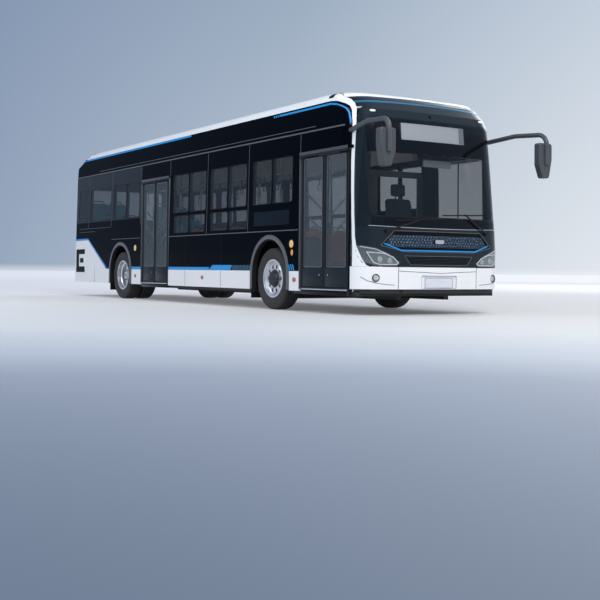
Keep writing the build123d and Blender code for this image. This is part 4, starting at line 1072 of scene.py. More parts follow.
@dataclass
class Studio:
    """The pale floor, the lights and the camera at the photograph's viewing angle.

    Attributes:
        eye: Station, offset and height of the camera.
        yaw: Its turn to the left from straight across the bus, in degrees.
        pitch: Its tilt upwards, in degrees.
        roll: Its turn about its own axis, in degrees.
        lens: Its focal length in millimetres.
        shift: Its upright shift, as a share of the picture.
        floor_size: Length of the floor's side.
        soft_light: Strength of the even light from all round.
    """

    eye: Point = (13.768, -9.292, 0.609)
    yaw: float = 58.09
    pitch: float = 1.69
    roll: float = 0.57
    lens: float = 61.77
    shift: float = -0.1
    floor_size: float = 400.0
    soft_light: float = 0.55
    # Wall behind, from left to right, near the floor and high up
    low_wall: Stops = (
        (0.0, (0.305, 0.386, 0.509)), (1.0, (0.768, 0.807, 0.855)), (0.5, (0.52, 0.59, 0.69)))
    high_wall: Stops = (
        (0.0, (0.231, 0.301, 0.440)), (1.0, (0.539, 0.617, 0.716)), (0.5, (0.328, 0.413, 0.527)))
    # Floor, from near the camera to far away, darker near the camera as painted shade, and the painted light
    # that it gives off to the eye there, left and right
    floor_tones: Stops = (
        (0.0, (0.11, 0.145, 0.20)), (1.0, (0.83, 0.81, 0.79)), (0.17, (0.27, 0.305, 0.37)),
        (0.22, (0.40, 0.44, 0.495)), (0.33, (0.59, 0.605, 0.62)), (0.57, (0.74, 0.725, 0.70)))
    left_glow: Stops = (
        (0.0, (0.0, 0.0, 0.0)), (1.0, (0.41, 0.42, 0.46)), (0.19, (0.20, 0.20, 0.21)),
        (0.36, (0.20, 0.20, 0.22)))
    right_glow: Stops = (
        (0.0, (0.0, 0.0, 0.0)), (1.0, (0.54, 0.55, 0.57)), (0.19, (0.07, 0.07, 0.07)),
        (0.36, (0.06, 0.06, 0.06)), (0.50, (0.24, 0.25, 0.26)))
    # What the floor looks like where it ends, from left to right
    floor_end: Stops = (
        (0.0, (0.680, 0.708, 0.799)), (1.0, (0.863, 0.888, 0.930)), (0.5, (0.78, 0.81, 0.87)))

    def camera(self) -> None:
        """Place the camera where the photograph was taken from."""
        yaw, pitch, roll = (math.radians(value) for value in (self.yaw, self.pitch, self.roll))
        ahead = Vector((-math.sin(yaw) * math.cos(pitch), math.cos(yaw) * math.cos(pitch), math.sin(pitch)))
        right = Vector((math.cos(yaw), math.sin(yaw), 0.0))
        up = right.cross(ahead)
        level = math.cos(roll) * right + math.sin(roll) * up
        upright = math.cos(roll) * up - math.sin(roll) * right
        turn = Matrix((level, upright, -ahead)).transposed().to_4x4()
        data = bpy.data.cameras.new("camera")
        data.lens, data.shift_y, data.sensor_width = self.lens, self.shift, 36.0
        data.clip_end = 1000.0
        made = bpy.data.objects.new("camera", data)
        made.matrix_world = Matrix.Translation(Vector(self.eye) + Vector((FRONT_AXLE, 0.0, 0.0))) @ turn
        bpy.context.scene.collection.objects.link(made)
        bpy.context.scene.camera = made

    def rightwards(self) -> Array:
        """Return the level direction to the camera's right."""
        yaw = math.radians(self.yaw)
        return np.array([math.cos(yaw), math.sin(yaw), 0.0])

    def vector(self, tree: bpy.types.NodeTree, operation: str, source: bpy.types.NodeSocket,
               second: Array | Point = ORIGIN) -> bpy.types.Node:
        """Add one step of vector arithmetic.

        Args:
            tree: The nodes to add to.
            operation: What the step does.
            source: The vector that it works on.
            second: The fixed vector, where the step takes one.

        Returns:
            The new node.
        """
        made = tree.nodes.new("ShaderNodeVectorMath")
        made.operation = operation
        made.inputs[1].default_value = tuple(second)
        tree.links.new(source, made.inputs[0])
        return made

    def measure(self, tree: bpy.types.NodeTree, source: bpy.types.NodeSocket, direction: Array | Point,
                low: float, high: float) -> bpy.types.NodeSocket:
        """Measure a vector along a direction, and spread the result from 0 to 1.

        Args:
            tree: The nodes to add to.
            source: The vector.
            direction: What it is measured along.
            low: The length that gives 0.
            high: The length that gives 1.

        Returns:
            The socket that carries the share.
        """
        along = self.vector(tree, "DOT_PRODUCT", source, direction)
        return self.spread(tree, along.outputs["Value"], low, high)

    def spread(self, tree: bpy.types.NodeTree, value: bpy.types.NodeSocket, low: float,
               high: float) -> bpy.types.NodeSocket:
        """Spread a value from 0 at its low end to 1 at its high one.

        Args:
            tree: The nodes to add to.
            value: The value.
            low: What gives 0.
            high: What gives 1.

        Returns:
            The socket that carries the share.
        """
        made = tree.nodes.new("ShaderNodeMapRange")
        made.inputs["From Min"].default_value, made.inputs["From Max"].default_value = low, high
        tree.links.new(value, made.inputs["Value"])
        return made.outputs["Result"]

    def shades(self, tree: bpy.types.NodeTree, factor: bpy.types.NodeSocket,
               stops: Stops) -> bpy.types.NodeSocket:
        """Turn a share into a colour between stops.

        Args:
            tree: The nodes to add to.
            factor: The share.
            stops: Places and colours, the two ends first and then what lies between them.

        Returns:
            The colour.
        """
        made = tree.nodes.new("ShaderNodeValToRGB")
        ramp = made.color_ramp
        for number, (place, colour) in enumerate(stops):
            stop = ramp.elements[number] if number < 2 else ramp.elements.new(place)
            stop.position, stop.color = place, (*colour, 1.0)
        tree.links.new(factor, made.inputs["Fac"])
        return made.outputs["Color"]

    def blended(self, tree: bpy.types.NodeTree, factor: bpy.types.NodeSocket, first: bpy.types.NodeSocket,
                second: bpy.types.NodeSocket, kind: str = "MIX") -> bpy.types.NodeSocket:
        """Blend two colours by a share.

        Args:
            tree: The nodes to add to.
            factor: The share of the second colour.
            first: The first colour.
            second: The second colour.
            kind: How they are blended.

        Returns:
            The blended colour.
        """
        mix = tree.nodes.new("ShaderNodeMix")
        mix.data_type, mix.blend_type = "RGBA", kind
        tree.links.new(factor, mix.inputs["Factor"])
        tree.links.new(first, mix.inputs["A"])
        tree.links.new(second, mix.inputs["B"])
        return mix.outputs["Result"]

    def seen_rays(self, tree: bpy.types.NodeTree) -> bpy.types.NodeSocket:
        """Return 1 for the rays that look at a surface, and 0 for those that light one."""
        rays = tree.nodes.new("ShaderNodeLightPath")
        value = rays.outputs["Is Camera Ray"]
        for name in ("Is Glossy Ray", "Is Transmission Ray"):
            either = tree.nodes.new("ShaderNodeMath")
            either.operation = "MAXIMUM"
            tree.links.new(value, either.inputs[0])
            tree.links.new(rays.outputs[name], either.inputs[1])
            value = either.outputs["Value"]
        return value

    def floor_finish(self) -> bpy.types.Material:
        """A floor that is pale far away and darker blue-grey near the camera as painted shade, and keeps the
        bus's shadow.

        Returns:
            The material. Its colour follows the distance from the camera as painted shade, darker and bluer
            to the left, and far away it glows a little to the eye as painted light, so that it meets the wall
            behind without an edge.
        """
        made = bpy.data.materials.new("studio_floor")
        made.use_nodes = True
        tree = made.node_tree
        shader = tree.nodes["Principled BSDF"]
        shader.inputs["Roughness"].default_value = 0.75
        shader.inputs["Specular IOR Level"].default_value = 0.25
        place = tree.nodes.new("ShaderNodeTexCoord").outputs["Object"]
        eye = np.array(self.eye) + [FRONT_AXLE, 0.0, 0.0]
        from_eye = self.vector(tree, "SUBTRACT", place, eye).outputs["Vector"]
        ray = self.vector(tree, "NORMALIZE", from_eye).outputs["Vector"]
        away = self.vector(tree, "LENGTH", from_eye).outputs["Value"]
        side = self.measure(tree, ray, self.rightwards(), -0.27, 0.27)
        near = self.spread(tree, away, 1.0, 31.0)
        # Painted shade: the floor's colour darkens towards the camera
        tone = self.shades(tree, near, self.floor_tones)
        # Painted shade: darker and bluer to the left
        tint = self.shades(tree, side, ((0.0, (0.84, 0.88, 0.93)), (1.0, (1.0, 1.0, 1.0))))
        one = tree.nodes.new("ShaderNodeValue").outputs[0]
        one.default_value = 1.0
        tree.links.new(self.blended(tree, one, tone, tint, "MULTIPLY"), shader.inputs["Base Color"])
        # Painted light: far away the floor glows to the eye
        far = self.spread(tree, away, 5.0, 75.0)
        glow = self.blended(tree, side, self.shades(tree, far, self.left_glow),
                            self.shades(tree, far, self.right_glow))
        tree.links.new(glow, shader.inputs["Emission Color"])
        tree.links.new(self.seen_rays(tree), shader.inputs["Emission Strength"])
        return made

    def ground(self) -> None:
        """Lay the floor, a wide square sheet."""
        half = self.floor_size / 2
        mesh = bpy.data.meshes.new("studio_floor")
        corners = [(-half, -half, 0.0), (half, -half, 0.0), (half, half, 0.0), (-half, half, 0.0)]
        mesh.from_pydata(corners, [], [(0, 1, 2, 3)])
        mesh.materials.append(self.floor_finish())
        made = bpy.data.objects.new("studio_floor", mesh)
        bpy.context.scene.collection.objects.link(made)

    def sky(self) -> None:
        """Light the scene evenly, and show a blue-grey wall, lighter to the right and near the floor."""
        world = bpy.data.worlds.new("studio")
        bpy.context.scene.world = world
        world.use_nodes = True
        tree = world.node_tree
        soft = tree.nodes["Background"]
        soft.inputs["Color"].default_value = (0.80, 0.86, 1.0, 1.0)
        soft.inputs["Strength"].default_value = self.soft_light
        seen = tree.nodes.new("ShaderNodeBackground")
        place = tree.nodes.new("ShaderNodeTexCoord").outputs["Generated"]
        side = self.measure(tree, place, self.rightwards(), -0.29, 0.29)
        rise = self.measure(tree, place, UPWARD, -0.005, 0.27)
        low, high = self.shades(tree, side, self.low_wall), self.shades(tree, side, self.high_wall)
        haze = self.measure(tree, place, UPWARD, -0.004, 0.004)
        wall = self.blended(tree, rise, low, high)
        view = self.blended(tree, haze, self.shades(tree, side, self.floor_end), wall)
        tree.links.new(view, seen.inputs["Color"])
        mix = tree.nodes.new("ShaderNodeMixShader")
        tree.links.new(self.seen_rays(tree), mix.inputs["Fac"])
        tree.links.new(soft.outputs["Background"], mix.inputs[1])
        tree.links.new(seen.outputs["Background"], mix.inputs[2])
        tree.links.new(mix.outputs["Shader"], tree.nodes["World Output"].inputs["Surface"])

    def lamp(self, name: str, place: Point, aim: Point, size: float, watts: float, colour: Colour) -> None:
        """Hang one soft square lamp.

        Args:
            name: Its name.
            place: Where it hangs, in stations.
            aim: What it points at.
            size: The length of its side.
            watts: Its power.
            colour: Its colour.
        """
        data = bpy.data.lights.new(name, "AREA")
        data.shape, data.size, data.energy, data.color = "SQUARE", size, watts, colour
        made = bpy.data.objects.new(name, data)
        made.location = Vector(place) + Vector((FRONT_AXLE, 0.0, 0.0))
        made.rotation_mode = "QUATERNION"
        made.rotation_quaternion = (Vector(aim) - Vector(place)).to_track_quat("-Z", "Y")
        bpy.context.scene.collection.objects.link(made)

    def build(self) -> None:
        """Set up the whole studio."""
        bpy.context.scene.view_settings.view_transform = "Standard"
        self.camera()
        self.ground()
        self.sky()
        warm, cool = (1.0, 0.99, 0.96), (0.94, 0.97, 1.0)
        self.lamp("key_lamp", place=(14.0, -4.0, 12.0), aim=(1.5, 0.0, 1.4), size=8.0, watts=1900.0,
                  colour=warm)
        self.lamp("side_lamp", place=(-3.0, -16.0, 10.0), aim=(-3.0, -1.2, 1.2), size=10.0, watts=900.0,
                  colour=cool)
        self.lamp("far_lamp", place=(-12.0, 30.0, 18.0), aim=(-3.0, 1.2, 1.6), size=20.0, watts=3600.0,
                  colour=cool)


@dataclass
class Livery:
    """The white roof band, corner strips and rear patches, and the blue lines along them.

    Attributes:
        band_low: Lower edge of the roof band.
        band_knee: Height where the body's side bends in towards the flat roof.
        band_high: Its upper edge, at the edge of the flat roof.
        band_rear: Station where the band turns down the rear slope.
        band_front: Station where it starts to curve down to the windshield pillar.
        roof_edge: Offset of the inner edge of the white strip on the flat roof.
        roof_face: Height of the white strips' face on the flat roof.
        skirt_top: Upper edge of the white skirts.
        line_start: Station where the front run of the roof's blue line starts.
        line_height: Height of that run.
        slant: How far a slanted end leans from the stripe's foot to its head.
    """

    band_low: float = 3.02
    band_knee: float = 3.10
    band_high: float = 3.1445
    band_rear: float = -8.03
    band_front: float = 1.72
    roof_edge: float = 1.082
    roof_face: float = 3.1465
    skirt_top: float = 0.599
    line_start: float = 0.21
    line_height: float = 2.980
    # Shoulder of the band: upper front edge, then lower rear edge, as station, offset and height
    shoulder_outer: tuple[Point, ...] = (
        (1.62, 1.118, 3.1445), (1.886, 1.173, 3.046), (1.990, 1.148, 3.010), (2.075, 1.136, 2.946),
        (2.151, 1.154, 2.856), (2.189, 1.186, 2.712), (2.198, 1.199, 2.516))
    shoulder_inner: tuple[Point, ...] = (
        (1.62, 1.231, 3.020), (1.800, 1.226, 2.997), (1.950, 1.214, 2.950), (2.038, 1.199, 2.909),
        (2.104, 1.202, 2.824), (2.132, 1.215, 2.718), (2.150, 1.220, 2.516))
    # Windshield pillar below the shoulder: front edge, then rear edge, likewise
    pillar_front: tuple[Point, ...] = (
        (2.198, 1.199, 2.516), (2.203, 1.223, 2.128), (2.221, 1.238, 1.740), (2.247, 1.249, 1.354),
        (2.269, 1.253, 1.084), (2.296, 1.247, 0.950), (2.370, 1.206, 0.780), (2.413, 1.166, 0.694),
        (2.440, 1.130, 0.672))
    pillar_rear: tuple[Point, ...] = (
        (2.150, 1.220, 2.516), (2.153, 1.239, 2.128), (2.173, 1.252, 1.740), (2.198, 1.261, 1.354),
        (2.217, 1.266, 1.084), (2.231, 1.268, 0.950), (2.231, 1.268, 0.780), (2.229, 1.268, 0.694),
        (2.229, 1.268, 0.672))
    # Blue stripe above the skirt: foot and head of its thin and of its thick run, ends of the thin runs
    stripe_thin: Flat = (0.600, 0.650)
    stripe_thick: Flat = (0.600, 0.686)
    stripe_runs: tuple[Flat, ...] = ((-3.700, -2.05), (-5.470, -5.010), (-6.86, -6.60))
    slant: float = 0.07

    def roof_band(self, side: Side) -> Form:
        """The band along the roof edge, over the edge and on the strip of flat roof beside it."""
        x = np.linspace(self.band_rear, self.band_front, 41)
        low, knee, high = (stacked(x, z) for z in (self.band_low, self.band_knee, self.band_high))
        form = ribbon(side_chart(side), low, knee, proud=PAINT_PROUD, across=2)
        form.join(ribbon(side_chart(side), knee, high, proud=PAINT_PROUD, across=2))
        slope = np.linspace(self.band_low, self.band_high, 15)
        ends = SKIN.tail(np.zeros_like(slope), slope)[:, 0]
        rear = stacked(np.minimum(ends + 0.02, self.band_rear), slope)
        front = stacked(self.band_rear, slope)
        form.join(ribbon(side_chart(side), rear, front, proud=PAINT_PROUD, across=2))
        edge = SKIN.side(x, np.full_like(x, self.band_high)) + 0.001
        level = self.roof_face
        top = np.stack([stacked(x, edge, level), stacked(x, self.roof_edge, level)])
        mirror = np.array([1.0, side.value, 1.0])
        cap = slab(top * mirror, (top - [0.0, 0.0, 0.003]) * mirror)
        return form.join(cap)

    def front_strip(self, side: Side) -> Form:
        """The band's shoulder and the windshield pillar below it, down to the bumper."""
        outer = SKIN.walked(list(self.shoulder_outer))
        inner = SKIN.walked(list(self.shoulder_inner))
        form = ribbon(nose_chart(side), inner, outer, proud=0.003, across=14, along=6)
        front, rear = SKIN.walked(list(self.pillar_front)), SKIN.walked(list(self.pillar_rear))
        return form.join(ribbon(nose_chart(side), rear, front, proud=PAINT_PROUD, across=4, along=4))

    def dome_cap(self) -> Form:
        """The white roof of the front dome, down to the line above the blue edge."""
        side_low = SKIN.walked([(1.886, 1.173, 3.046), (2.02, 1.12, 3.050), (2.12, 0.98, 3.058),
                                (2.17, 0.70, 3.066), (2.19, 0.35, 3.072), (2.195, 0.0, 3.074)])
        high = stacked(side_low[:, 0] * 0.985, self.band_high)
        share = ((self.band_knee - side_low[:, 1]) / (self.band_high - side_low[:, 1]))[:, None]
        knee = side_low * (1 - share) + high * share
        form = Form()
        for side in Side:
            form.join(ribbon(nose_chart(side), side_low, knee, proud=PAINT_PROUD, across=3, along=4))
            form.join(ribbon(nose_chart(side), knee, high, proud=PAINT_PROUD, across=3, along=4))
        y = np.linspace(-1.10, 1.10, 33)
        front = SKIN.front(y, np.full_like(y, self.band_high)) - 0.002
        level = self.roof_face
        top = np.stack([stacked(1.64, y, level), stacked(front, y, level)])
        return form.join(slab(top, top - [0.0, 0.0, 0.003]))

    def rear_strip(self, side: Side) -> Form:
        """The white strip down the rear corner, from the rear slope to the tail."""
        z = np.concatenate([[self.band_high, 3.122, self.band_knee, 3.06],
                            np.linspace(self.band_low, 2.86, 5), np.linspace(2.80, self.skirt_top, 25)])
        reach = SKIN.size(Level.REAR_RADIUS, z) * math.pi / 2
        start = np.interp(z, [1.2, 2.86, 3.1445], [0.10, 0.07, -0.02])
        low = stacked(start, z)
        high = stacked(reach + 0.02, z)
        return ribbon(tail_chart(side), low, high, proud=PAINT_PROUD, across=8)

    def rear_patch(self, side: Side) -> Form:
        """The white patch on the side behind the rear wheels, and round the corner."""
        foot, head = self.skirt_top - 0.002, 1.225
        high = [(-8.68, head), (-7.95, head), (-7.90, 1.205), (-6.90, 0.640), (-6.84, 0.612), (-6.60, 0.606)]
        low = [(x, foot) for x, _ in high]
        form = ribbon(side_chart(side), low, high, proud=PAINT_PROUD, across=3, along=2)
        return form.join(panel(tail_chart(side), 0.0, 0.11, foot, head, PAINT_PROUD, across=4, along=6))

    def side_stripes(self, side: Side) -> Form:
        """The blue line above the skirt, its thick run and the slashes ahead of the wheel."""
        chart = side_chart(side)
        low, high = self.stripe_thin
        form = Form()
        for x0, x1 in self.stripe_runs:
            form.join(panel(chart, x0, x1, low, high, proud=STRIPE_PROUD, along=4))
        low, high = self.stripe_thick
        rear, front = -2.06, -1.285
        foot, head = [(rear, low), (front, low)], [(rear + self.slant * 2, high), (front + self.slant, high)]
        form.join(ribbon(chart, foot, head, proud=0.003, across=1, along=2))
        for start in (0.556, 0.614, 0.672):
            form.join(self.slash(chart, start, 0.028, low + 0.010, high + 0.012))
        return form

    def bars_ground(self, side: Side) -> Form:
        """The black ground of the slanted bars, between the thick stripe and the front wheel."""
        return panel(side_chart(side), -1.265, -0.590, *self.stripe_thick, proud=0.0022, along=3)

    def slanted_bars(self, side: Side) -> Form:
        """The slanted bars on that ground."""
        form = Form()
        for start in np.arange(-1.235, -0.65, 0.058):
            form.join(self.slash(side_chart(side), start, 0.026, *self.stripe_thick))
        return form

    def slash(self, chart: Chart, x: float, width: float, low: float, high: float) -> Form:
        """One slanted bar.

        Args:
            chart: The face that it lies on.
            x: Station of its foot's rear corner.
            width: Its width.
            low: Height of its foot.
            high: Height of its head.

        Returns:
            The bar.
        """
        lean = self.slant * 0.6
        return ribbon(chart, [(x + lean, low), (x + lean + width, low)], [(x, high), (x + width, high)],
                      proud=0.003, across=1)

    def edge_lines(self, side: Side) -> Form:
        """The blue lines under the roof band, inside the shoulder and over the rear patch."""
        chart = side_chart(side)
        form = line_on(chart, [(-8.33, 3.000), (-2.9, 3.000)], 0.034, proud=STRIPE_PROUD, along=24)
        z = self.line_height
        form.join(line_on(chart, [(self.line_start, z), (1.62, z)], 0.030, proud=STRIPE_PROUD, along=6))
        for start in self.line_start - np.array([0.06, 0.12, 0.18]):
            form.join(line_on(chart, [(start, z), (start + 0.035, z)], 0.030, proud=STRIPE_PROUD))
        inner = SKIN.walked([(1.62, 1.231, 2.980), (1.785, 1.226, 2.954), (1.914, 1.214, 2.910),
                             (1.992, 1.199, 2.872), (2.062, 1.203, 2.802), (2.098, 1.216, 2.718),
                             (2.112, 1.219, 2.655)])
        form.join(line_on(nose_chart(side), inner, 0.032, proud=STRIPE_PROUD, along=4))
        form.join(line_on(chart, [(-8.68, 1.247), (-7.95, 1.247), (-6.84, 0.640), (-6.60, 0.628)], 0.030,
                          proud=STRIPE_PROUD, along=4))
        corner = [(-0.02, 2.985), (0.045, 2.86), (0.075, 2.76)]
        form.join(line_on(tail_chart(side), corner, 0.030, proud=STRIPE_PROUD, along=6))
        return form

    def shoulder_field(self, side: Side) -> Form:
        """The body's colour on the side of the front mask, inside the shoulder's blue line."""
        inner = SKIN.walked(list(self.shoulder_inner[:6]))
        head = inner - np.array([0.0, 0.012])
        foot = stacked(inner[:, 0], 2.652)
        form = ribbon(nose_chart(side), foot, head, proud=0.001, across=6, along=4)
        return form.join(panel(side_chart(side), 1.60, 1.86, 2.652, 2.965, 0.0013, 6, 6))

    def build(self) -> None:
        """Make the livery's pieces on both sides."""
        self.dome_cap().piece("roof_dome_cap", Finishes.white)
        for side in Side:
            tag = side.tag
            self.roof_band(side).piece(f"roof_band_{tag}", Finishes.white)
            self.front_strip(side).piece(f"front_strip_{tag}", Finishes.white)
            self.rear_strip(side).piece(f"rear_strip_{tag}", Finishes.white)
            self.rear_patch(side).piece(f"rear_patch_{tag}", Finishes.white)
            self.side_stripes(side).piece(f"side_stripes_{tag}", Finishes.blue)
            self.edge_lines(side).piece(f"edge_lines_{tag}", Finishes.blue)
            self.shoulder_field(side).piece(f"shoulder_field_{tag}", Finishes.body)
            self.bars_ground(side).piece(f"stripe_ground_{tag}", Finishes.gloss_black)
            self.slanted_bars(side).piece(f"stripe_bars_{tag}", Finishes.teal)


@dataclass
class SideTrim:
    """The glazing field, grey mouldings, seams and vents of the long sides.

    Attributes:
        field_low: Foot of the black glazing field.
        field_high: Its head, under the cantrail moulding.
        upper: Foot and head of the upper panes.
        lower: Foot and head of the lower panes.
        line: Height of the cantrail moulding.
        low_foot: Foot of the field that the lower panes lie in.
        door_head: Foot of the plates above the doorways.
        proud: How far the field stands out.
        rear_bays: How many of the bays lie behind the middle doorway.
        middle_bay: Ends of the bay over the middle doorway.
    """

    field_low: float = 1.612
    field_high: float = 2.622
    upper: Flat = (1.635, 2.330)
    lower: Flat = (1.265, 1.580)
    line: float = 2.640
    low_foot: float = 1.228
    door_head: float = 2.350
    proud: float = 0.0012
    # Panes of the door side: rear and front edge of each upper pane, in order
    panes: tuple[Flat, ...] = (
        (-8.560, -7.960), (-7.840, -6.630), (-6.480, -5.825), (-5.795, -5.140), (-3.580, -2.920),
        (-2.890, -2.230), (-2.070, -1.440), (-1.410, -0.780), (-0.575, 0.0175), (0.0475, 0.640))
    low_panes: tuple[Flat, ...] = (
        (-3.520, -2.900), (-2.870, -2.250), (-2.050, -1.410), (-1.380, -0.740))
    # Bays of the field: rear end, front end
    bays: tuple[Flat, ...] = (
        (-8.86, -7.945), (-7.935, -6.605), (-6.595, -5.065), (-3.71, -2.181), (-2.171, -0.717),
        (-0.707, 0.845))
    rear_bays: int = 3
    middle_bay: Flat = (-5.055, -3.72)
    seams: tuple[float, ...] = (-7.94, -6.60, -5.06, -3.715, -2.176, -0.712, 0.85)
    driver_door_panes: tuple[Flat, ...] = ((-4.950, -4.365), (-4.335, -3.750))
    # Rear end, front end, foot, head and rows of faces of each plate round the air inlet
    vent_frame: tuple[tuple[float, float, float, float, int], ...] = (
        (-8.645, -8.12, 0.525, 0.650, 4), (-8.645, -8.12, 0.925, 1.030, 2),
        (-8.645, -8.485, 0.650, 0.925, 4), (-8.41, -8.20, 0.735, 0.835, 2))
    # Rear end, front end, foot and head of each group of its slats
    vent_slats: tuple[tuple[float, float, float, float], ...] = (
        (-8.64, -8.13, 0.532, 0.642), (-8.64, -8.13, 0.932, 1.022), (-8.64, -8.49, 0.655, 0.92),
        (-8.402, -8.208, 0.742, 0.828))

    def glazing(self, side: Side, low: float, high: float, x0: float, x1: float,
                panes: list[Flat], sill: float, head: float) -> Form:
        """A plate with its panes left open, made of strips that meet face to face.

        Args:
            side: The side that it lies on.
            low: Its foot.
            high: Its head.
            x0: Its rear end.
            x1: Its front end.
            panes: Rear and front edge of each opening.
            sill: Foot of the openings.
            head: Head of the openings.

        Returns:
            The plate.
        """
        chart = side_chart(side)
        form = panel(chart, x0, x1, low, sill, self.proud, along=8)
        form.join(panel(chart, x0, x1, head, high, self.proud, along=8))
        edges = [x0] + [edge for pane in panes for edge in pane] + [x1]
        for rear, front in zip(edges[::2], edges[1::2]):
            if front - rear > 0.001:
                form.join(panel(chart, rear, front, sill, head, self.proud, across=4, along=3))
        return form

    def fields(self, side: Side) -> tuple[Form, Form]:
        """The rear bays' field, lighter by a painted reflection, and the front bays' black one."""
        light, dark = Form(), Form()
        for index, (x0, x1) in enumerate(self.bays):
            inside = [pane for pane in self.panes if pane[0] > x0 and pane[1] < x1]
            inside = inside or [(max(x0, -8.56), x1)]
            # The rear bays take the glazing whose lighter colour is a painted reflection
            target = light if index < self.rear_bays else dark
            target.join(self.glazing(side, self.field_low, self.field_high, x0, x1, inside, *self.upper))
        for x0, x1 in self.bays[self.rear_bays:-1]:
            inside = [pane for pane in self.low_panes if pane[0] > x0 and pane[1] < x1]
            dark.join(self.glazing(side, self.low_foot, self.field_low - 0.004, x0, x1, inside, *self.lower))
        return light, dark

    def over_doors(self, side: Side) -> Form:
        """The black plates above the doorways, or the whole field there on the driver's side."""
        chart, low, high = side_chart(side), self.door_head, self.field_high
        if side is Side.DOOR:
            form = panel(chart, *self.middle_bay, low, high, self.proud, along=4)
            return form.join(panel(chart, 0.855, 2.12, low, high, self.proud, along=12))
        panes, foot, waist = list(self.driver_door_panes), self.low_foot, self.field_low
        form = self.glazing(side, waist, high, *self.middle_bay, panes, *self.upper)
        form.join(self.glazing(side, foot, waist - 0.004, *self.middle_bay, panes, *self.lower))
        return form.join(self.glazing(side, foot, high, 0.855, 2.13, [(1.0, 2.09)], 1.265, 2.33))

    def gaskets(self, side: Side) -> Form:
        """The thin black rubber round every pane, proud of the glass."""
        form, chart, width = Form(), side_chart(side), 0.010
        rows = [(pane, self.upper) for pane in self.panes] + [(pane, self.lower) for pane in self.low_panes]
        if side is Side.DRIVER:
            rows += [(pane, level) for pane in self.driver_door_panes for level in (self.upper, self.lower)]
        for (x0, x1), (z0, z1) in rows:
            outline = rounded_rectangle(x0, x1, z0, z1, 0.05)
            inner = rounded_rectangle(x0 + width, x1 - width, z0 + width, z1 - width, 0.045)
            form.join(ribbon(chart, looped(inner), looped(outline), proud=0.003, sink=0.001, across=1))
        return form

    def mouldings(self, side: Side) -> Form:
        """The raised grey lines along the body and the seams between its panels."""
        chart = side_chart(side)
        form = line_on(chart, [(-8.84, self.line), (2.13, self.line)], 0.022, proud=0.006, along=60)
        form.join(line_on(chart, [(-7.36, 2.700), (1.25, 2.700)], 0.010, proud=0.004, along=40))
        runs = [(-3.70, 0.83, 1.210, 0.014), (-6.56, -5.07, 1.215, 0.010), (-8.50, -6.62, 1.475, 0.007),
                (-8.50, -7.54, 1.405, 0.007)]
        if side is Side.DRIVER:
            runs.append((-5.05, -3.70, 1.210, 0.014))
        for x0, x1, z, width in runs:
            form.join(line_on(chart, [(x0, z), (x1, z)], width, proud=0.005, along=10))
        for x in self.seams:
            low = 1.225 if x > -5.0 else self.field_low - 0.13
            if side is Side.DOOR and x == self.seams[-1]:
                low = self.door_head
            form.join(line_on(chart, [(x, low), (x, self.field_high)], 0.009, proud=0.004, along=6))
        return form

    def panel_gaps(self, side: Side) -> Form:
        """Dark shut lines of the flaps and skirts."""
        chart = side_chart(side)
        form = Form()
        lines = [[(-7.50, 0.312), (-7.50, 0.720)], [(-6.60, 0.70), (-6.60, 1.205)],
                 [(-3.0, 0.31), (-3.0, 0.597)], [(-1.62, 0.31), (-1.62, 0.597)],
                 [(-3.0, 0.70), (-3.0, 1.20)], [(-1.62, 0.70), (-1.62, 1.20)]]
        for points in lines:
            form.join(line_on(chart, points, 0.005, proud=0.0022, along=4))
        return form

    def vents(self, side: Side) -> tuple[Form, Form]:
        """The bracket-shaped air inlet behind the rear wheels: its dark frame, and its slats."""
        chart = side_chart(side)
        casing, slats = Form(), Form()
        for x0, x1, z0, z1, across in self.vent_frame:
            casing.join(panel(chart, x0, x1, z0, z1, 0.006, across))
        for x0, x1, z0, z1 in self.vent_slats:
            for z in np.arange(z0 + 0.008, z1 - 0.006, 0.022):
                slats.join(panel(chart, x0, x1, z, z + 0.009, 0.011, across=1, sink=-0.004))
        return casing, slats

    def flare(self, side: Side, x: float) -> Form:
        """The rounded trim over one wheel arch, down to the skirt.

        Args:
            side: The side that it lies on.
            x: Station of the wheel.

        Returns:
            The trim.
        """
        section = [(0.524, 1.262), (0.524, 1.2885), (0.5275, 1.2915), (0.556, 1.2945), (0.582, 1.2915),
                   (0.5885, 1.285), (0.5885, 1.262)]
        turn = np.linspace(0.0, math.pi, 37)
        legs = np.linspace(0.315, 0.545, 5)
        rows = []
        for radius, offset in section:
            arc = stacked(radius * np.cos(turn), 0.564 + radius * np.sin(turn))
            fore, aft = (stacked(way * radius, legs) for way in (1, -1))
            path = np.vstack([fore, arc, aft[::-1]])
            rows.append(stacked(x + path[:, 0], side.value * offset, path[:, 1]))
        rings = np.array(rows).transpose(1, 0, 2)
        return Form().grid(rings, around=True).cap(rings[0, ::-1]).cap(rings[-1])

    def flaps(self, side: Side) -> Form:
        """The mud flaps behind both wheels of a side."""
        form = Form()
        low, high = sorted((side.value * 1.235, side.value * 0.885))
        for x in (-0.640, -WHEELBASE - 0.640):
            form.join(rounded_block((x, low, 0.165), (x + 0.008, high, 0.40), 0.003, 2))
        return form

    def build(self) -> None:
        """Make the trim of both sides."""
        for side in Side:
            tag = side.tag
            light, dark = self.fields(side)
            light.piece(f"rear_glazing_field_{tag}", Finishes.glass_grey)
            dark.piece(f"front_glazing_field_{tag}", Finishes.glass_black)
            self.over_doors(side).piece(f"door_head_field_{tag}", Finishes.glass_black)
            self.gaskets(side).piece(f"pane_gaskets_{tag}", Finishes.seal)
            self.mouldings(side).piece(f"side_mouldings_{tag}", Finishes.trim_grey)
            self.panel_gaps(side).piece(f"panel_gaps_{tag}", Finishes.seal)
            casing, slats = self.vents(side)
            casing.piece(f"rear_vent_frame_{tag}", Finishes.liner)
            slats.piece(f"rear_vent_slats_{tag}", Finishes.seal)
            flares = self.flare(side, 0.0).join(self.flare(side, -WHEELBASE))
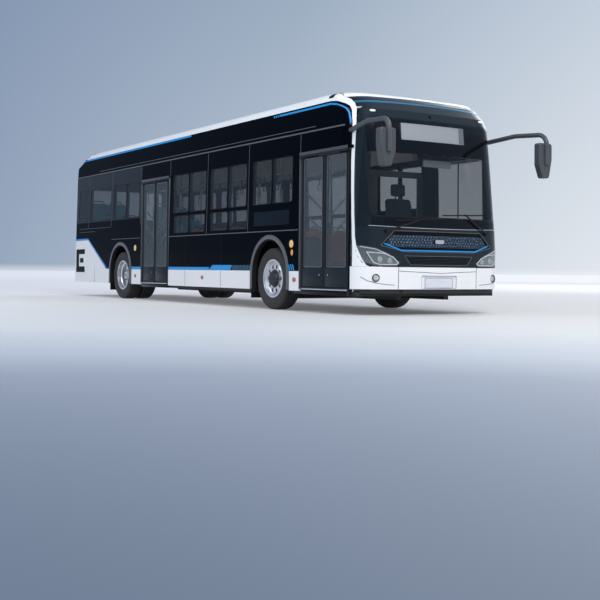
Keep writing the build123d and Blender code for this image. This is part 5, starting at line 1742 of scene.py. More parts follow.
            # Painted highlight: the flares' grey stands in partly for the light along their top
            flares.piece(f"arch_flares_{tag}", Finishes.flare)
            self.flaps(side).piece(f"mud_flaps_{tag}", Finishes.seal)


DOOR_SETS = ("front_door", "middle_door")
WHEEL_NAMES = {Side.DRIVER: "left", Side.DOOR: "right"}


@dataclass
class WheelDress:
    """Tyres with their tread, nuts and dark hubs on every wheel, and valves on the front ones.

    Attributes:
        radius: Outer radius of the tyre.
        bead: Radius at which the tyre meets the rim.
        flange: Radius of the rim's flange.
        nut_circle: Radius of the circle of nuts.
        steps: Points around the tyre.
        grooves: Offsets of the tread's grooves.
        front_offset: Offset of a front tyre's middle.
        twin_outer: Offset of the outer twin tyre's middle.
        twin_spacing: How far the inner one stands behind it.
    """

    radius: float = 0.4783
    bead: float = 0.2862
    flange: float = 0.2995
    nut_circle: float = 0.1675
    steps: int = 144
    grooves: tuple[float, ...] = (-0.082, -0.041, 0.0, 0.041, 0.082)
    front_offset: float = 1.090
    twin_outer: float = 1.097
    twin_spacing: float = 0.312

    def section(self) -> Array:
        """The tyre's section: offset and radius from one bead over the tread to the other."""
        wall = [(0.104, self.bead), (0.108, self.flange + 0.001), (0.117, self.flange + 0.012),
                (0.1290, 0.335), (0.1355, 0.356), (0.1372, 0.366), (0.1375, 0.392), (0.1362, 0.412),
                (0.1368, 0.416), (0.1352, 0.428), (0.1312, 0.444), (0.1245, 0.461), (0.1150, 0.4700)]
        mouth, floor, depth = 0.0062, 0.0048, 0.011
        tread = []
        for middle in self.grooves[::-1]:
            crown = self.radius - 0.3 * middle ** 2
            tread += [(middle + mouth, crown), (middle + floor, crown - depth),
                      (middle - floor, crown - depth), (middle - mouth, crown)]
        first = np.array(wall + [(0.104, self.radius - 0.0035)] + tread)
        return np.vstack([first, [(-y, r) for y, r in wall[::-1]]])

    def tyre(self, offset: float) -> Form:
        """A tyre whose shoulders are notched round its tread.

        Args:
            offset: Place of its middle along the axle, on the driver's side.

        Returns:
            The tyre about the wheel's middle: radius as a function of angle and offset.
        """
        section = self.section()
        angle = full_turn(self.steps)
        shoulder = (np.abs(section[:, 0]) > 0.1) & (section[:, 1] > 0.455)
        notch = np.where(np.arange(self.steps) % 4 == 0, 0.010, 0.0)
        reach = section[:, 1][:, None] - shoulder[:, None] * notch[None]
        points = stacked(reach * np.cos(angle), section[:, :1] + offset, reach * np.sin(angle))
        return Form().grid(points, around=True).grid(points[[-1, 0]], around=True)

    def nuts(self, face: float, count: int = 10) -> Form:
        """Hexagonal nuts with their collars in a ring.

        Args:
            face: Offset of the face that they stand on.
            count: How many there are.

        Returns:
            The nuts about the wheel's middle.
        """
        nut = lathe([(-0.006, 0.019), (0.003, 0.019), (0.004, 0.0155)], ORIGIN, ACROSS, 16)
        nut.join(lathe([(0.003, 0.0152), (0.022, 0.0152), (0.024, 0.012)], ORIGIN, ACROSS, 6))
        nut.join(lathe([(0.023, 0.0095), (0.034, 0.0095), (0.036, 0.007)], ORIGIN, ACROSS, 12))
        angle = full_turn(count)
        centres = stacked(self.nut_circle * np.cos(angle), face, self.nut_circle * np.sin(angle))
        return lattice(centres, nut)

    def rim_lip(self, c: float) -> Form:
        """Return the bright lip of a rim whose tyre's middle is at an offset."""
        return hoop([(c + 0.1120, 0.2900), (c + 0.1185, 0.2915), (c + 0.1190, 0.2980), (c + 0.1170, 0.2995),
                     (c + 0.1120, 0.2990)], ORIGIN, ACROSS, 96)

    def placed(self, form: Form, x: float, side: Side) -> Form:
        """Carry a form drawn about a wheel's middle to its axle's end.

        Args:
            form: The form, drawn for the driver's side.
            x: Station of the axle.
            side: The side that it goes to.

        Returns:
            The form in its place.
        """
        turned = form if side is Side.DRIVER else form.mirrored()
        return turned.moved(lambda points: points + np.array([x, 0.0, AXLE_HEIGHT]))

    def front(self, side: Side) -> None:
        """Dress one front wheel."""
        tag, body, c = side.tag, f"wheel_front_{WHEEL_NAMES[side]}", self.front_offset
        tyre = self.placed(self.tyre(c), 0.0, side).piece(f"front_tyre_{tag}", Finishes.tyre, body, 30)
        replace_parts(tyre, f"tyre_front_{WHEEL_NAMES[side]}")
        self.placed(self.nuts(c + 0.084), 0.0, side).piece(f"front_nuts_{tag}", Finishes.nut, body)
        cap = lathe([(c + 0.078, 0.1385), (c + 0.086, 0.1405), (c + 0.094, 0.1210), (c + 0.130, 0.1065),
                     (c + 0.1385, 0.0980), (c + 0.1405, 0.0860), (c + 0.1375, 0.0800), (c + 0.1375, 0.0560),
                     (c + 0.1430, 0.0520), (c + 0.1430, 0.0300), (c + 0.1410, 0.0280)], ORIGIN, ACROSS, 64)
        self.placed(cap, 0.0, side).piece(f"front_hub_{tag}", Finishes.hub, body)
        self.placed(self.rim_lip(c), 0.0, side).piece(f"front_rim_lip_{tag}", Finishes.chrome, body)
        stem = tube([(0.222, c + 0.060, 0.0), (0.226, c + 0.088, 0.0), (0.232, c + 0.112, 0.0)], 0.0045, 8)
        self.placed(stem, 0.0, side).piece(f"front_valve_{tag}", Finishes.nut, body)

    def rear(self, side: Side) -> None:
        """Dress one pair of rear wheels."""
        tag, body, c = side.tag, f"wheels_rear_{WHEEL_NAMES[side]}", self.twin_outer
        x = -WHEELBASE
        pair = self.tyre(c).join(self.tyre(c - self.twin_spacing))
        tyres = self.placed(pair, x, side).piece(f"rear_tyres_{tag}", Finishes.tyre, body, 30)
        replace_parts(tyres, f"tyres_rear_{WHEEL_NAMES[side]}")
        face = c - self.twin_spacing / 2 + 0.014
        self.placed(self.nuts(face), x, side).piece(f"rear_nuts_{tag}", Finishes.nut, body)
        cap = lathe([(face, 0.1300), (face + 0.018, 0.1300), (c + 0.008, 0.1200), (c + 0.048, 0.1030),
                     (c + 0.0530, 0.0960), (c + 0.0530, 0.0780), (c + 0.0480, 0.0740), (c + 0.0480, 0.0400),
                     (c + 0.0520, 0.0360)], ORIGIN, ACROSS, 64)
        self.placed(cap, x, side).piece(f"rear_hub_{tag}", Finishes.alloy_dark, body)
        angle, circle = full_turn(8), 0.088
        stud = lathe([(-0.004, 0.0085), (0.007, 0.0085), (0.009, 0.006)], ORIGIN, ACROSS, 6)
        centres = stacked(circle * np.cos(angle), c + 0.054, circle * np.sin(angle))
        self.placed(lattice(centres, stud), x, side).piece(f"rear_hub_bolts_{tag}", Finishes.nut, body)
        self.placed(self.rim_lip(c), x, side).piece(f"rear_rim_lip_{tag}", Finishes.chrome, body)

    def build(self) -> None:
        """Dress every wheel."""
        for side in Side:
            self.front(side)
            self.rear(side)


@dataclass
class DoorDressing:
    """Seals, lock buttons, rails and sills of the two doorways.

    Attributes:
        doorways: Name, rear edge and front edge of each doorway.
        face: Offset of the leaves' outer face.
        thick: Thickness of a leaf.
        low: Foot of the leaves.
        high: Head of the leaves.
        glass: Foot and head of a leaf's pane.
        column_gap: How far a column stands from its jamb.
    """

    doorways: tuple[tuple[str, float, float], ...] = (
        ("front_door", 0.865, 2.185), ("middle_door", -4.997, -3.716))
    face: float = -1.263
    thick: float = 0.036
    low: float = 0.362
    high: float = 2.262
    glass: Flat = (0.660, 2.235)
    column_gap: float = 0.030

    def leaf(self, name: str, end: str, column: float, sign: int, reach: float) -> None:
        """Dress one leaf.

        Args:
            name: The door set.
            end: Which leaf.
            column: Station of its column.
            sign: 1 where it reaches forwards from the column.
            reach: How far its free edge is from the column.
        """
        body = f"{name}_leaf_{end}"
        hinge, free = column + sign * 0.031, column + sign * reach
        edges = sorted((hinge, free))
        outer = self.face - 0.0035

        def bar(x0: float, x1: float, z0: float, z1: float, y0: float, y1: float, radius: float) -> Form:
            """Return a block with slightly rounded edges, from two places along, up and across."""
            return rounded_block((min(x0, x1), min(y0, y1), z0), (max(x0, x1), max(y0, y1), z1), radius, 3)

        rubber = bar(free - sign * 0.017, free + sign * 0.0022, self.low + 0.004, self.high - 0.004,
                     outer, self.face + self.thick + 0.001, 0.006)
        rubber.join(bar(hinge - sign * 0.004, hinge + sign * 0.012, self.low + 0.004, self.high - 0.004,
                        outer, self.face + 0.02, 0.005))
        rubber.join(bar(edges[0] + 0.02, edges[1] - 0.02, self.low - 0.006, self.low + 0.012,
                        self.face + 0.004, self.face + 0.03, 0.004))
        rubber.piece(f"{name}_{end}_edge_rubbers", Finishes.seal, body)
        x0, x1 = edges[0] + 0.058, edges[1] - 0.058
        z0, z1 = self.glass
        outline = rounded_rectangle(x0 - 0.006, x1 + 0.006, z0 - 0.006, z1 + 0.006, 0.04)
        inner = rounded_rectangle(x0 + 0.008, x1 - 0.008, z0 + 0.008, z1 - 0.008, 0.034)
        rings = np.stack([looped(outline), looped(inner)])

        def flat(y: float) -> Array:
            """Return the two outlines on a plane."""
            return stacked(rings[..., 0], y, rings[..., 1])

        seal = slab(flat(self.face - 0.002), flat(self.face + 0.003))
        seal.piece(f"{name}_{end}_glass_seal", Finishes.trim_grey, body)
        rails = Form()
        for top, foot in ((1.720, 1.400), (1.410, 1.080)):
            y = self.face + self.thick + 0.042
            ends = [(column + sign * (reach - 0.030), y, foot), (column + sign * 0.061, y, top)]
            rails.join(tube(np.linspace(*np.array(ends), 3), 0.0155, 14))
            for place in ends:
                collar = [(0.0, 0.024), (0.006, 0.024), (0.008, 0.0155), (0.044, 0.0155)]
                rails.join(lathe(collar, (place[0], self.face + self.thick, place[2]), ACROSS, 16))
        rails.piece(f"{name}_{end}_grab_rails", Finishes.steel, body)
        lock = lathe([(-0.001, 0.021), (0.006, 0.021), (0.008, 0.017)], ORIGIN, OUTWARD, 20)
        ring = lathe([(-0.001, 0.012), (0.010, 0.012), (0.011, 0.010)], ORIGIN, OUTWARD, 16)
        place = np.array([free - sign * 0.11, self.face, 0.55])
        lock.moved(lambda p: p + place).piece(f"{name}_{end}_lock_plate", Finishes.seal, body)
        ring.moved(lambda p: p + place).piece(f"{name}_{end}_lock_button", Finishes.silver_trim, body)
        kick = bar(edges[0] + 0.02, edges[1] - 0.03, self.low + 0.02, 0.640,
                   self.face - 0.0015, self.face + 0.002, 0.001)
        kick.piece(f"{name}_{end}_foot_panel", Finishes.slate, body)

    def surround(self, name: str, rear: float, front: float) -> None:
        """The lintel, sill strips and jamb seals of one doorway.

        Args:
            name: The door set.
            rear: Its rear edge.
            front: Its front edge.
        """
        last = min(front, 2.125)
        block_piece(f"{name}_lintel", Finishes.lintel_grey,
                    (rear + 0.01, -1.2905, 2.3015), (last, -1.255, 2.3455), 0.006)
        block_piece(f"{name}_head_brush", Finishes.seal,
                    (rear + 0.02, -1.2855, 2.268), (last, -1.262, 2.303), 0.004)
        block_piece(f"{name}_sill_strip", Finishes.silver_trim,
                    (rear + 0.065, -1.2785, 0.3300), (front - 0.065, -1.243, 0.3520), 0.005)
        block_piece(f"{name}_sill_face", Finishes.gloss_black,
                    (rear + 0.063, -1.2765, 0.262), (front - 0.063, -1.245, 0.331), 0.004)
        ahead = min(front - 0.07, 1.98)
        block_piece(f"{name}_step_edge", Finishes.yellow,
                    (rear + 0.07, -1.165, 0.3225), (ahead, -1.095, 0.3255), 0.001, 2)
        jambs = rounded_block((rear - 0.001, -1.2785, 0.34), (rear + 0.012, -1.21, 2.30), 0.004)
        if front < 0.0:
            jambs.join(rounded_block((front - 0.012, -1.2785, 0.34), (front + 0.001, -1.21, 2.30), 0.004))
        jambs.piece(f"{name}_jamb_seals", Finishes.trim_grey)

    def build(self) -> None:
        """Dress both doorways."""
        for name, rear, front in self.doorways:
            reach = (front - rear) / 2 - self.column_gap - 0.003
            self.surround(name, rear, front)
            self.leaf(name, "rear", rear + self.column_gap, 1, reach)
            self.leaf(name, "fore", front - self.column_gap, -1, reach)


@dataclass
class FrontFace:
    """Lamps, grille, lines, plate, sign and screens of the front.

    Attributes:
        lamp: Outline of one headlamp, as offset and height.
        bowl: Outline of its light guide.
        projectors: Offset, height and radius of its projectors.
        grille: Outline of the upper grille.
        lower: Outline of the lower grille.
        depth: How far the grilles' floors stand out, below zero because they lie behind the face.
        stud_rows: Height and half length of each row of large studs.
    """

    lamp: tuple[Flat, ...] = (
        (0.684, 0.738), (0.737, 0.692), (1.066, 0.686), (1.205, 0.728), (1.252, 0.850), (1.250, 0.972),
        (1.225, 0.955), (1.058, 0.920), (0.850, 0.838))
    bowl: tuple[Flat, ...] = (
        (0.705, 0.722), (0.735, 0.702), (1.000, 0.700), (1.085, 0.728), (1.160, 0.868), (0.935, 0.852),
        (0.790, 0.800))
    projectors: tuple[tuple[float, float, float], ...] = ((0.830, 0.752, 0.040), (0.985, 0.772, 0.046))
    grille: tuple[Flat, ...] = (
        (0.620, 0.880), (0.985, 0.960), (0.770, 1.165), (-0.770, 1.165), (-0.985, 0.960),
        (-0.620, 0.880))
    lower: tuple[Flat, ...] = ((0.605, 0.822), (0.510, 0.700), (-0.510, 0.700), (-0.605, 0.822))
    depth: float = -0.0135
    stud_rows: tuple[Flat, ...] = ((0.968, 0.920), (1.006, 0.880), (1.044, 0.850), (1.082, 0.815))
    # Edges, foot, head and rows and columns of faces of each plate of the glass's black edge
    black_edge: tuple[tuple[float, float, float, float, int, int], ...] = (
        (-1.10, 1.10, 1.222, 1.352, 2, 24), (-1.10, -0.60, 2.250, 2.720, 3, 8),
        (0.60, 1.10, 2.250, 2.720, 3, 8), (-0.60, 0.60, 2.250, 2.430, 2, 12),
        (-0.60, 0.60, 2.690, 2.720, 1, 12))

    def walked(self, points: tuple[Flat, ...] | Array) -> Array:
        """Lengths walked and heights of offsets and heights on the nose's driver's side."""
        points = np.asarray(points, float)
        x = SKIN.front(points[:, 0], points[:, 1])
        return SKIN.walked(stacked(x, points[:, 0], points[:, 1]))

    def headlamps(self, side: Side) -> None:
        """One headlamp: gasket, pale brow, light guide, bowl, projectors and clear cover."""
        tag, chart = side.tag, nose_chart(side)
        outline = self.walked(self.lamp)
        gasket = line_on(chart, looped(outline)[2:], 0.010, 0.0016, 4)
        gasket.piece(f"headlamp_gasket_{tag}", Finishes.gloss_black)
        brow = self.walked(((0.860, 0.832), (1.058, 0.908), (1.222, 0.944)))
        line_on(chart, brow, 0.012, 0.0040, 4).piece(f"headlamp_brow_{tag}", Finishes.guide)
        ring = self.walked(self.bowl)
        line_on(chart, looped(ring), 0.015, 0.0035, 3).piece(f"headlamp_guide_{tag}", Finishes.guide)
        floor = shield(chart, ring, -0.013, 0.017, 4)
        floor.piece(f"headlamp_bowl_{tag}", Finishes.bowl)
        for number, (y, z, radius) in enumerate(self.projectors):
            centre = (SKIN.face_at(y, z) - 0.012, side.value * y, z)
            rim = hoop([(-0.012, radius + 0.006), (0.002, radius + 0.006), (0.003, radius - 0.003),
                        (-0.004, radius - 0.004)], centre, FORWARD, 32)
            rim.piece(f"projector_rim_{tag}_{number}", Finishes.silver_trim)
            lens = lathe(bulge(-0.002, 0.010, radius - 0.005), centre, FORWARD, 32)
            lens.piece(f"projector_lens_{tag}_{number}", Finishes.lens_glass)
        cover = shield(chart, outline, 0.0022, -0.0006, 5)
        cover.piece(f"headlamp_cover_{tag}", Finishes.lamp_cover)

    def stud_row(self, y: Array, z: float) -> Array:
        """The places of one row of studs on the grille's floor.

        Args:
            y: Offsets of the studs.
            z: Height of the row.

        Returns:
            One row of station, offset and height for each stud.
        """
        return stacked(SKIN.front(y, z) + self.depth, y, z)

    def grilles(self) -> None:
        """The studded upper grille, its bare badge plate, and the slatted lower one.

        Both sizes of stud leave the badge plate's place free.
        """
        floor = shield(front_chart, np.array(self.grille), self.depth, 0.017, 6)
        floor.piece("grille_floor", Finishes.gloss_black)
        stud = lathe([(-0.006, 0.0142), (0.0035, 0.0142), (0.0085, 0.004)], ORIGIN, FORWARD, 4)
        spots, pitch = [], 0.052
        for row, (z, half) in enumerate(self.stud_rows):
            count = int(half / pitch)
            y = np.arange(-count, count + 1) * pitch + pitch / 2 * (row % 2)
            keep = (np.abs(y) <= half) & ~((np.abs(y) < 0.095) & (0.978 < z) & (z < 1.072))
            spots.append(self.stud_row(y[keep], z))
        lattice(np.vstack(spots), stud).piece("grille_studs", Finishes.stud)
        fine = lathe([(-0.006, 0.0060), (0.002, 0.0060), (0.004, 0.002)], ORIGIN, FORWARD, 4)
        spots, pitch = [], 0.026
        for row, z in enumerate(np.arange(0.948, 1.118, 0.0190)):
            half = min(0.93, 0.93 - max(0.0, z - 0.96) * 0.95)
            y = np.arange(-half, half, pitch) + pitch / 2 * (row % 2)
            keep = ~((np.abs(y) < 0.09) & (abs(z - 1.025) < 0.036))
            spots.append(self.stud_row(y[keep], z))
        lattice(np.vstack(spots), fine).piece("grille_fine_studs", Finishes.blue_grey)
        outline = looped(self.grille)
        line_on(front_chart, outline, 0.009, 0.003, 6).piece("grille_outline", Finishes.trim_grey)
        badge = rounded_rectangle(-0.078, 0.078, 0.998, 1.052, 0.02)
        shield(front_chart, badge, 0.001, 0.014, 3).piece("bare_badge_plate", Finishes.silver_trim)
        floor = shield(front_chart, np.array(self.lower), self.depth, 0.017, 5)
        floor.piece("lower_grille_floor", Finishes.gloss_black)
        slats = Form()
        for z in np.arange(0.716, 0.815, 0.020):
            half = 0.510 + (z - 0.700) * 0.095 / 0.122 - 0.008
            slats.join(panel(front_chart, -half, half, z, z + 0.008, -0.004, 1, 24, 0.014))
        slats.piece("lower_grille_slats", Finishes.mask)
        outline = looped(self.lower)
        line_on(front_chart, outline, 0.008, 0.003, 6).piece("lower_grille_outline", Finishes.trim_grey)

    def lines(self) -> None:
        """The blue line under the grille, the pale line under the glass and the one round the dome."""
        middle = np.array([(-0.930, 0.986), (-0.668, 0.8975), (0.668, 0.8975), (0.930, 0.986)])
        blue = ribbon(front_chart, middle + [0.0, -0.008], middle + [0.0, 0.008], 0.004, 0.016, 2, 16)
        blue.piece("front_blue_line", Finishes.blue)
        half = 1.135
        y = np.linspace(-half, half, 41)
        z = 1.208 + 0.020 * (y / half) ** 2
        foot = line_on(front_chart, stacked(y, z), 0.008, 0.003)
        foot.piece("glass_foot_line", Finishes.silver_trim)
        dome = Form()
        for side in Side:
            offsets = np.linspace(0.0, 1.13, 16)
            level = 2.992 - 0.030 * (offsets / offsets[-1]) ** 3
            path = self.walked(stacked(offsets, level))
            dome.join(line_on(nose_chart(side), path, 0.030, 0.0025, 2))
        dome.piece("dome_blue_line", Finishes.teal)
        seam = line_on(front_chart, stacked(y, 2.738 - 0.02 * (y / half) ** 2), 0.006, 0.0022)
        seam.piece("dome_seam", Finishes.seal)
        cheek = Form()
        for side in (-1, 1):
            cheek.join(line_on(front_chart, [(side * 0.70, 0.672), (side * 0.70, 0.368)], 0.006, 0.0022, 6))
            # Painted shade: this dark line follows the bumper's crease, where its lower face is darker; the
            # other lines are seams
            cheek.join(line_on(front_chart, [(side * 0.70, 0.614), (0.0, 0.5855)], 0.005, 0.0022, 8))
        cheek.join(line_on(front_chart, [(-1.13, 0.6715), (1.13, 0.6715)], 0.007, 0.0025, 24))
        cheek.piece("bumper_seams", Finishes.seal)

    def bumper(self) -> None:
        """The blank plate in its recess, the fog lamps and the swept seams beside them."""
        recess = looped(rounded_rectangle(-0.311, 0.311, 0.372, 0.550, 0.012))
        line_on(front_chart, recess, 0.0035, 0.0026, 3).piece("plate_recess_edge", Finishes.sign_shade)
        plate = rounded_rectangle(-0.25, 0.25, 0.382, 0.522, 0.012)
        shield(front_chart, plate, -0.0085, 0.014, 3).piece("front_blank_plate", Finishes.plate)
        border = line_on(front_chart, looped(plate), 0.0035, -0.006, 2)
        border.piece("front_plate_border", Finishes.sign_shade)
        for side in Side:
            tag = side.tag
            centre = (SKIN.face_at(1.046, 0.516) - 0.010, side.value * 1.046, 0.516)
            rim = hoop([(-0.008, 0.056), (0.0135, 0.056), (0.0145, 0.050), (0.002, 0.041), (-0.004, 0.041)],
                       centre, FORWARD, 40)
            rim.piece(f"fog_lamp_bezel_{tag}", Finishes.lamp_dark)
            lens = lathe(bulge(0.002, 0.008, 0.040), centre, FORWARD, 32)
            lens.piece(f"fog_lamp_lens_{tag}", Finishes.lens_glass)
            swoosh = self.walked(((0.760, 0.420), (0.900, 0.428), (1.040, 0.446), (1.150, 0.478),
                                  (1.215, 0.530)))
            line_on(nose_chart(side), swoosh, 0.006, 0.0025, 4).piece(f"bumper_swoosh_{tag}", Finishes.seal)

    def screens(self) -> None:
        """The sign's face, the camera, the white marker lamps and the black edge of the glass."""
        face = rounded_rectangle(-0.565, 0.565, 2.446, 2.680, 0.01)
        # Painted light: the unlit sign face glows to stay pale behind the glass
        shield(front_chart, face, -0.0085, 0.016, 4).piece("front_sign_face", Finishes.sign)
        strip = rounded_rectangle(0.470, 0.560, 2.452, 2.674, 0.006)
        shield(front_chart, strip, -0.0075, 0.0085, 3).piece("front_sign_strip", Finishes.sign_shade)
        frit = Form()
        for y0, y1, z0, z1, across, along in self.black_edge:
            frit.join(panel(front_chart, y0, y1, z0, z1, 0.0012, across, along, 0.001))
        frit.piece("windshield_black_edge", Finishes.frit)
        camera = lathe([(-0.004, 0.020), (0.010, 0.020), (0.014, 0.012)],
                       (SKIN.face_at(-0.03, 2.80), -0.03, 2.80), FORWARD, 24)
        camera.piece("front_camera", Finishes.gloss_black)
        markers = Form()
        for side in (-1, 1):
            x, y = SKIN.face_at(0.977, 2.826), side * 0.977
            markers.join(rounded_block((x - 0.05, y - 0.040, 2.810), (x + 0.013, y + 0.040, 2.842), 0.008))
        markers.piece("front_marker_lamps", Finishes.lamp_white)

    def build(self) -> None:
        """Make every piece of the front."""
        for side in Side:
            self.headlamps(side)
        self.grilles()
        self.lines()
        self.bumper()
        self.screens()


@dataclass
class SideLamps:
    """Round and oval lenses on the sides, and the rear lamp columns.

    Attributes:
        rows: Station, height, radius along, radius up and finish of each side lens.
        rear_rows: Height and finish of each rear lamp.
    """

    rows: tuple[tuple[float, float, float, float, Finish], ...] = (
        (0.735, 0.470, 0.042, 0.026, Finishes.coral), (-2.314, 0.470, 0.042, 0.026, Finishes.coral),
        (-5.270, 0.470, 0.042, 0.026, Finishes.coral), (0.672, 0.874, 0.032, 0.046, Finishes.amber),
        (0.650, 1.005, 0.058, 0.058, Finishes.straw), (-5.290, 1.021, 0.058, 0.058, Finishes.straw))
    rear_rows: tuple[tuple[float, Finish], ...] = (
        (0.780, Finishes.red), (0.930, Finishes.amber), (1.080, Finishes.red), (1.230, Finishes.lamp_white))

    def lens(self, x: float, z: float, along: float, up: float, side: Side, proud: float) -> Form:
        """A domed lens on a side: an ellipse that rises towards its middle.

        Args:
            x: Station of its middle.
            z: Height of its middle.
            along: Its radius along the body.
            up: Its upright radius.
            side: The side that it lies on.
            proud: How far its face stands out.

        Returns:
            The lens.
        """
        angle = full_turn(28)
        share = np.array([1.0, 1.0, 0.86, 0.6, 0.3, 0.05])[:, None]
        rise = np.array([-0.006, proud * 0.5, proud * 0.9, proud, proud * 1.12, proud * 1.15])[:, None]
        xs = x + along * share * np.cos(angle)
        zs = z + up * share * np.sin(angle)
        points = SKIN.on_side(xs, zs, side.value, 0.0)
        points[..., 1] += side.value * rise
        form = Form().grid(points, around=True)
        return form.cap(points[0, ::-1]).cap(points[-1])

    def build(self) -> None:
        """Make the lenses, and let them stand for the construction node."""
        first = None
        for side in Side:
            for number, (x, z, along, up, finish) in enumerate(self.rows):
                lens = self.lens(x, z, along, up, side, 0.010)
                piece = lens.piece(f"side_lens_{side.tag}_{number}", finish)
                first = first or piece
                ring = self.lens(x, z, along + 0.007, up + 0.007, side, 0.004)
                ring.piece(f"side_lens_ring_{side.tag}_{number}", Finishes.seal)
        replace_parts(first, "signal_lamps")
        for side, tag in ((-1, "r"), (1, "l")):
            for number, (z, finish) in enumerate(self.rear_rows):
                centre = (-8.900, side * 0.960, z)
                dome = np.vstack([[-0.002, 0.0545], bulge(0.004, 0.012, 0.054)])
                lathe(dome, centre, REARWARD, 32).piece(f"rear_lamp_{tag}_{number}", finish)
                bezel = hoop([(-0.002, 0.064), (0.006, 0.064), (0.009, 0.060), (0.006, 0.055),
                              (-0.002, 0.055)], centre, REARWARD, 32)
                bezel.piece(f"rear_lamp_ring_{tag}_{number}", Finishes.chrome)


@dataclass
class MirrorDress:
    """The mirrors' glasses.

    Attributes:
        middle: Station, offset and height of the head's middle.
        outline: The head seen from behind, about its middle.
    """

    middle: Point = (3.156, 1.396, 2.205)
    outline: tuple[Flat, ...] = (
        (-0.125, 0.250), (0.125, 0.250), (0.125, 0.020), (0.070, -0.250), (-0.052, -0.250), (-0.125, -0.060))

    def build(self) -> None:
        """Make both mirrors' glasses."""
        x, y, z = self.middle
        for side in Side:
            tag = side.tag
            edge = rounded_outline([(0.80 * a, 0.86 * b) for a, b in self.outline], 0.03)
            rear = x - 0.0525

            def plane(scale: float, station: float) -> Array:
                """Return the outline on a plane across the bus."""
                across = side.value * (y + scale * edge[:, 0])
                return stacked(station, across, z + scale * edge[:, 1])

            glass = Form().grid(np.stack([plane(1.0, rear + 0.006), plane(1.0, rear + 0.001),
                                          plane(0.97, rear - 0.0005)]), around=True)
            glass.cap(plane(0.97, rear - 0.0005)).cap(plane(1.0, rear + 0.006)[::-1])
            glass.piece(f"mirror_glass_{tag}", Finishes.mirror_glass)


@dataclass
class RearFace:
    """The rear: the blank plate, the high lamp and the trim lines.

    Attributes:
        lines: Height, width and finish of each line across the rear.
    """

    lines: tuple[tuple[float, float, Finish], ...] = (
        (2.640, 0.018, Finishes.trim_grey), (1.225, 0.014, Finishes.blue), (0.606, 0.010, Finishes.seal))

    def build(self) -> None:
        """Make the pieces of the rear."""
        plate = rounded_rectangle(-0.26, 0.26, 0.420, 0.532, 0.012)
        shield(rear_chart, plate, 0.004, 0.002, 3).piece("rear_blank_plate", Finishes.plate)
        line_on(rear_chart, looped(plate), 0.009, 0.006, 2).piece("rear_plate_border", Finishes.seal)
        lamp = rounded_rectangle(-0.20, 0.20, 2.650, 2.680, 0.008)
        shield(rear_chart, lamp, 0.010, 0.002, 3).piece("rear_high_lamp", Finishes.red)
        for z, width, finish in self.lines:
            name = f"rear_line_{int(z * 1000)}"
            line_on(rear_chart, [(-1.10, z), (1.10, z)], width, 0.004, 16).piece(name, finish)


def corners_of(node: str) -> Array:
    """Return the points of a construction node, in stations."""
    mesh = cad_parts[node].data
    flat = np.empty(len(mesh.vertices) * 3)
    mesh.vertices.foreach_get("co", flat)
    return flat.reshape(-1, 3) - [FRONT_AXLE, 0.0, 0.0]


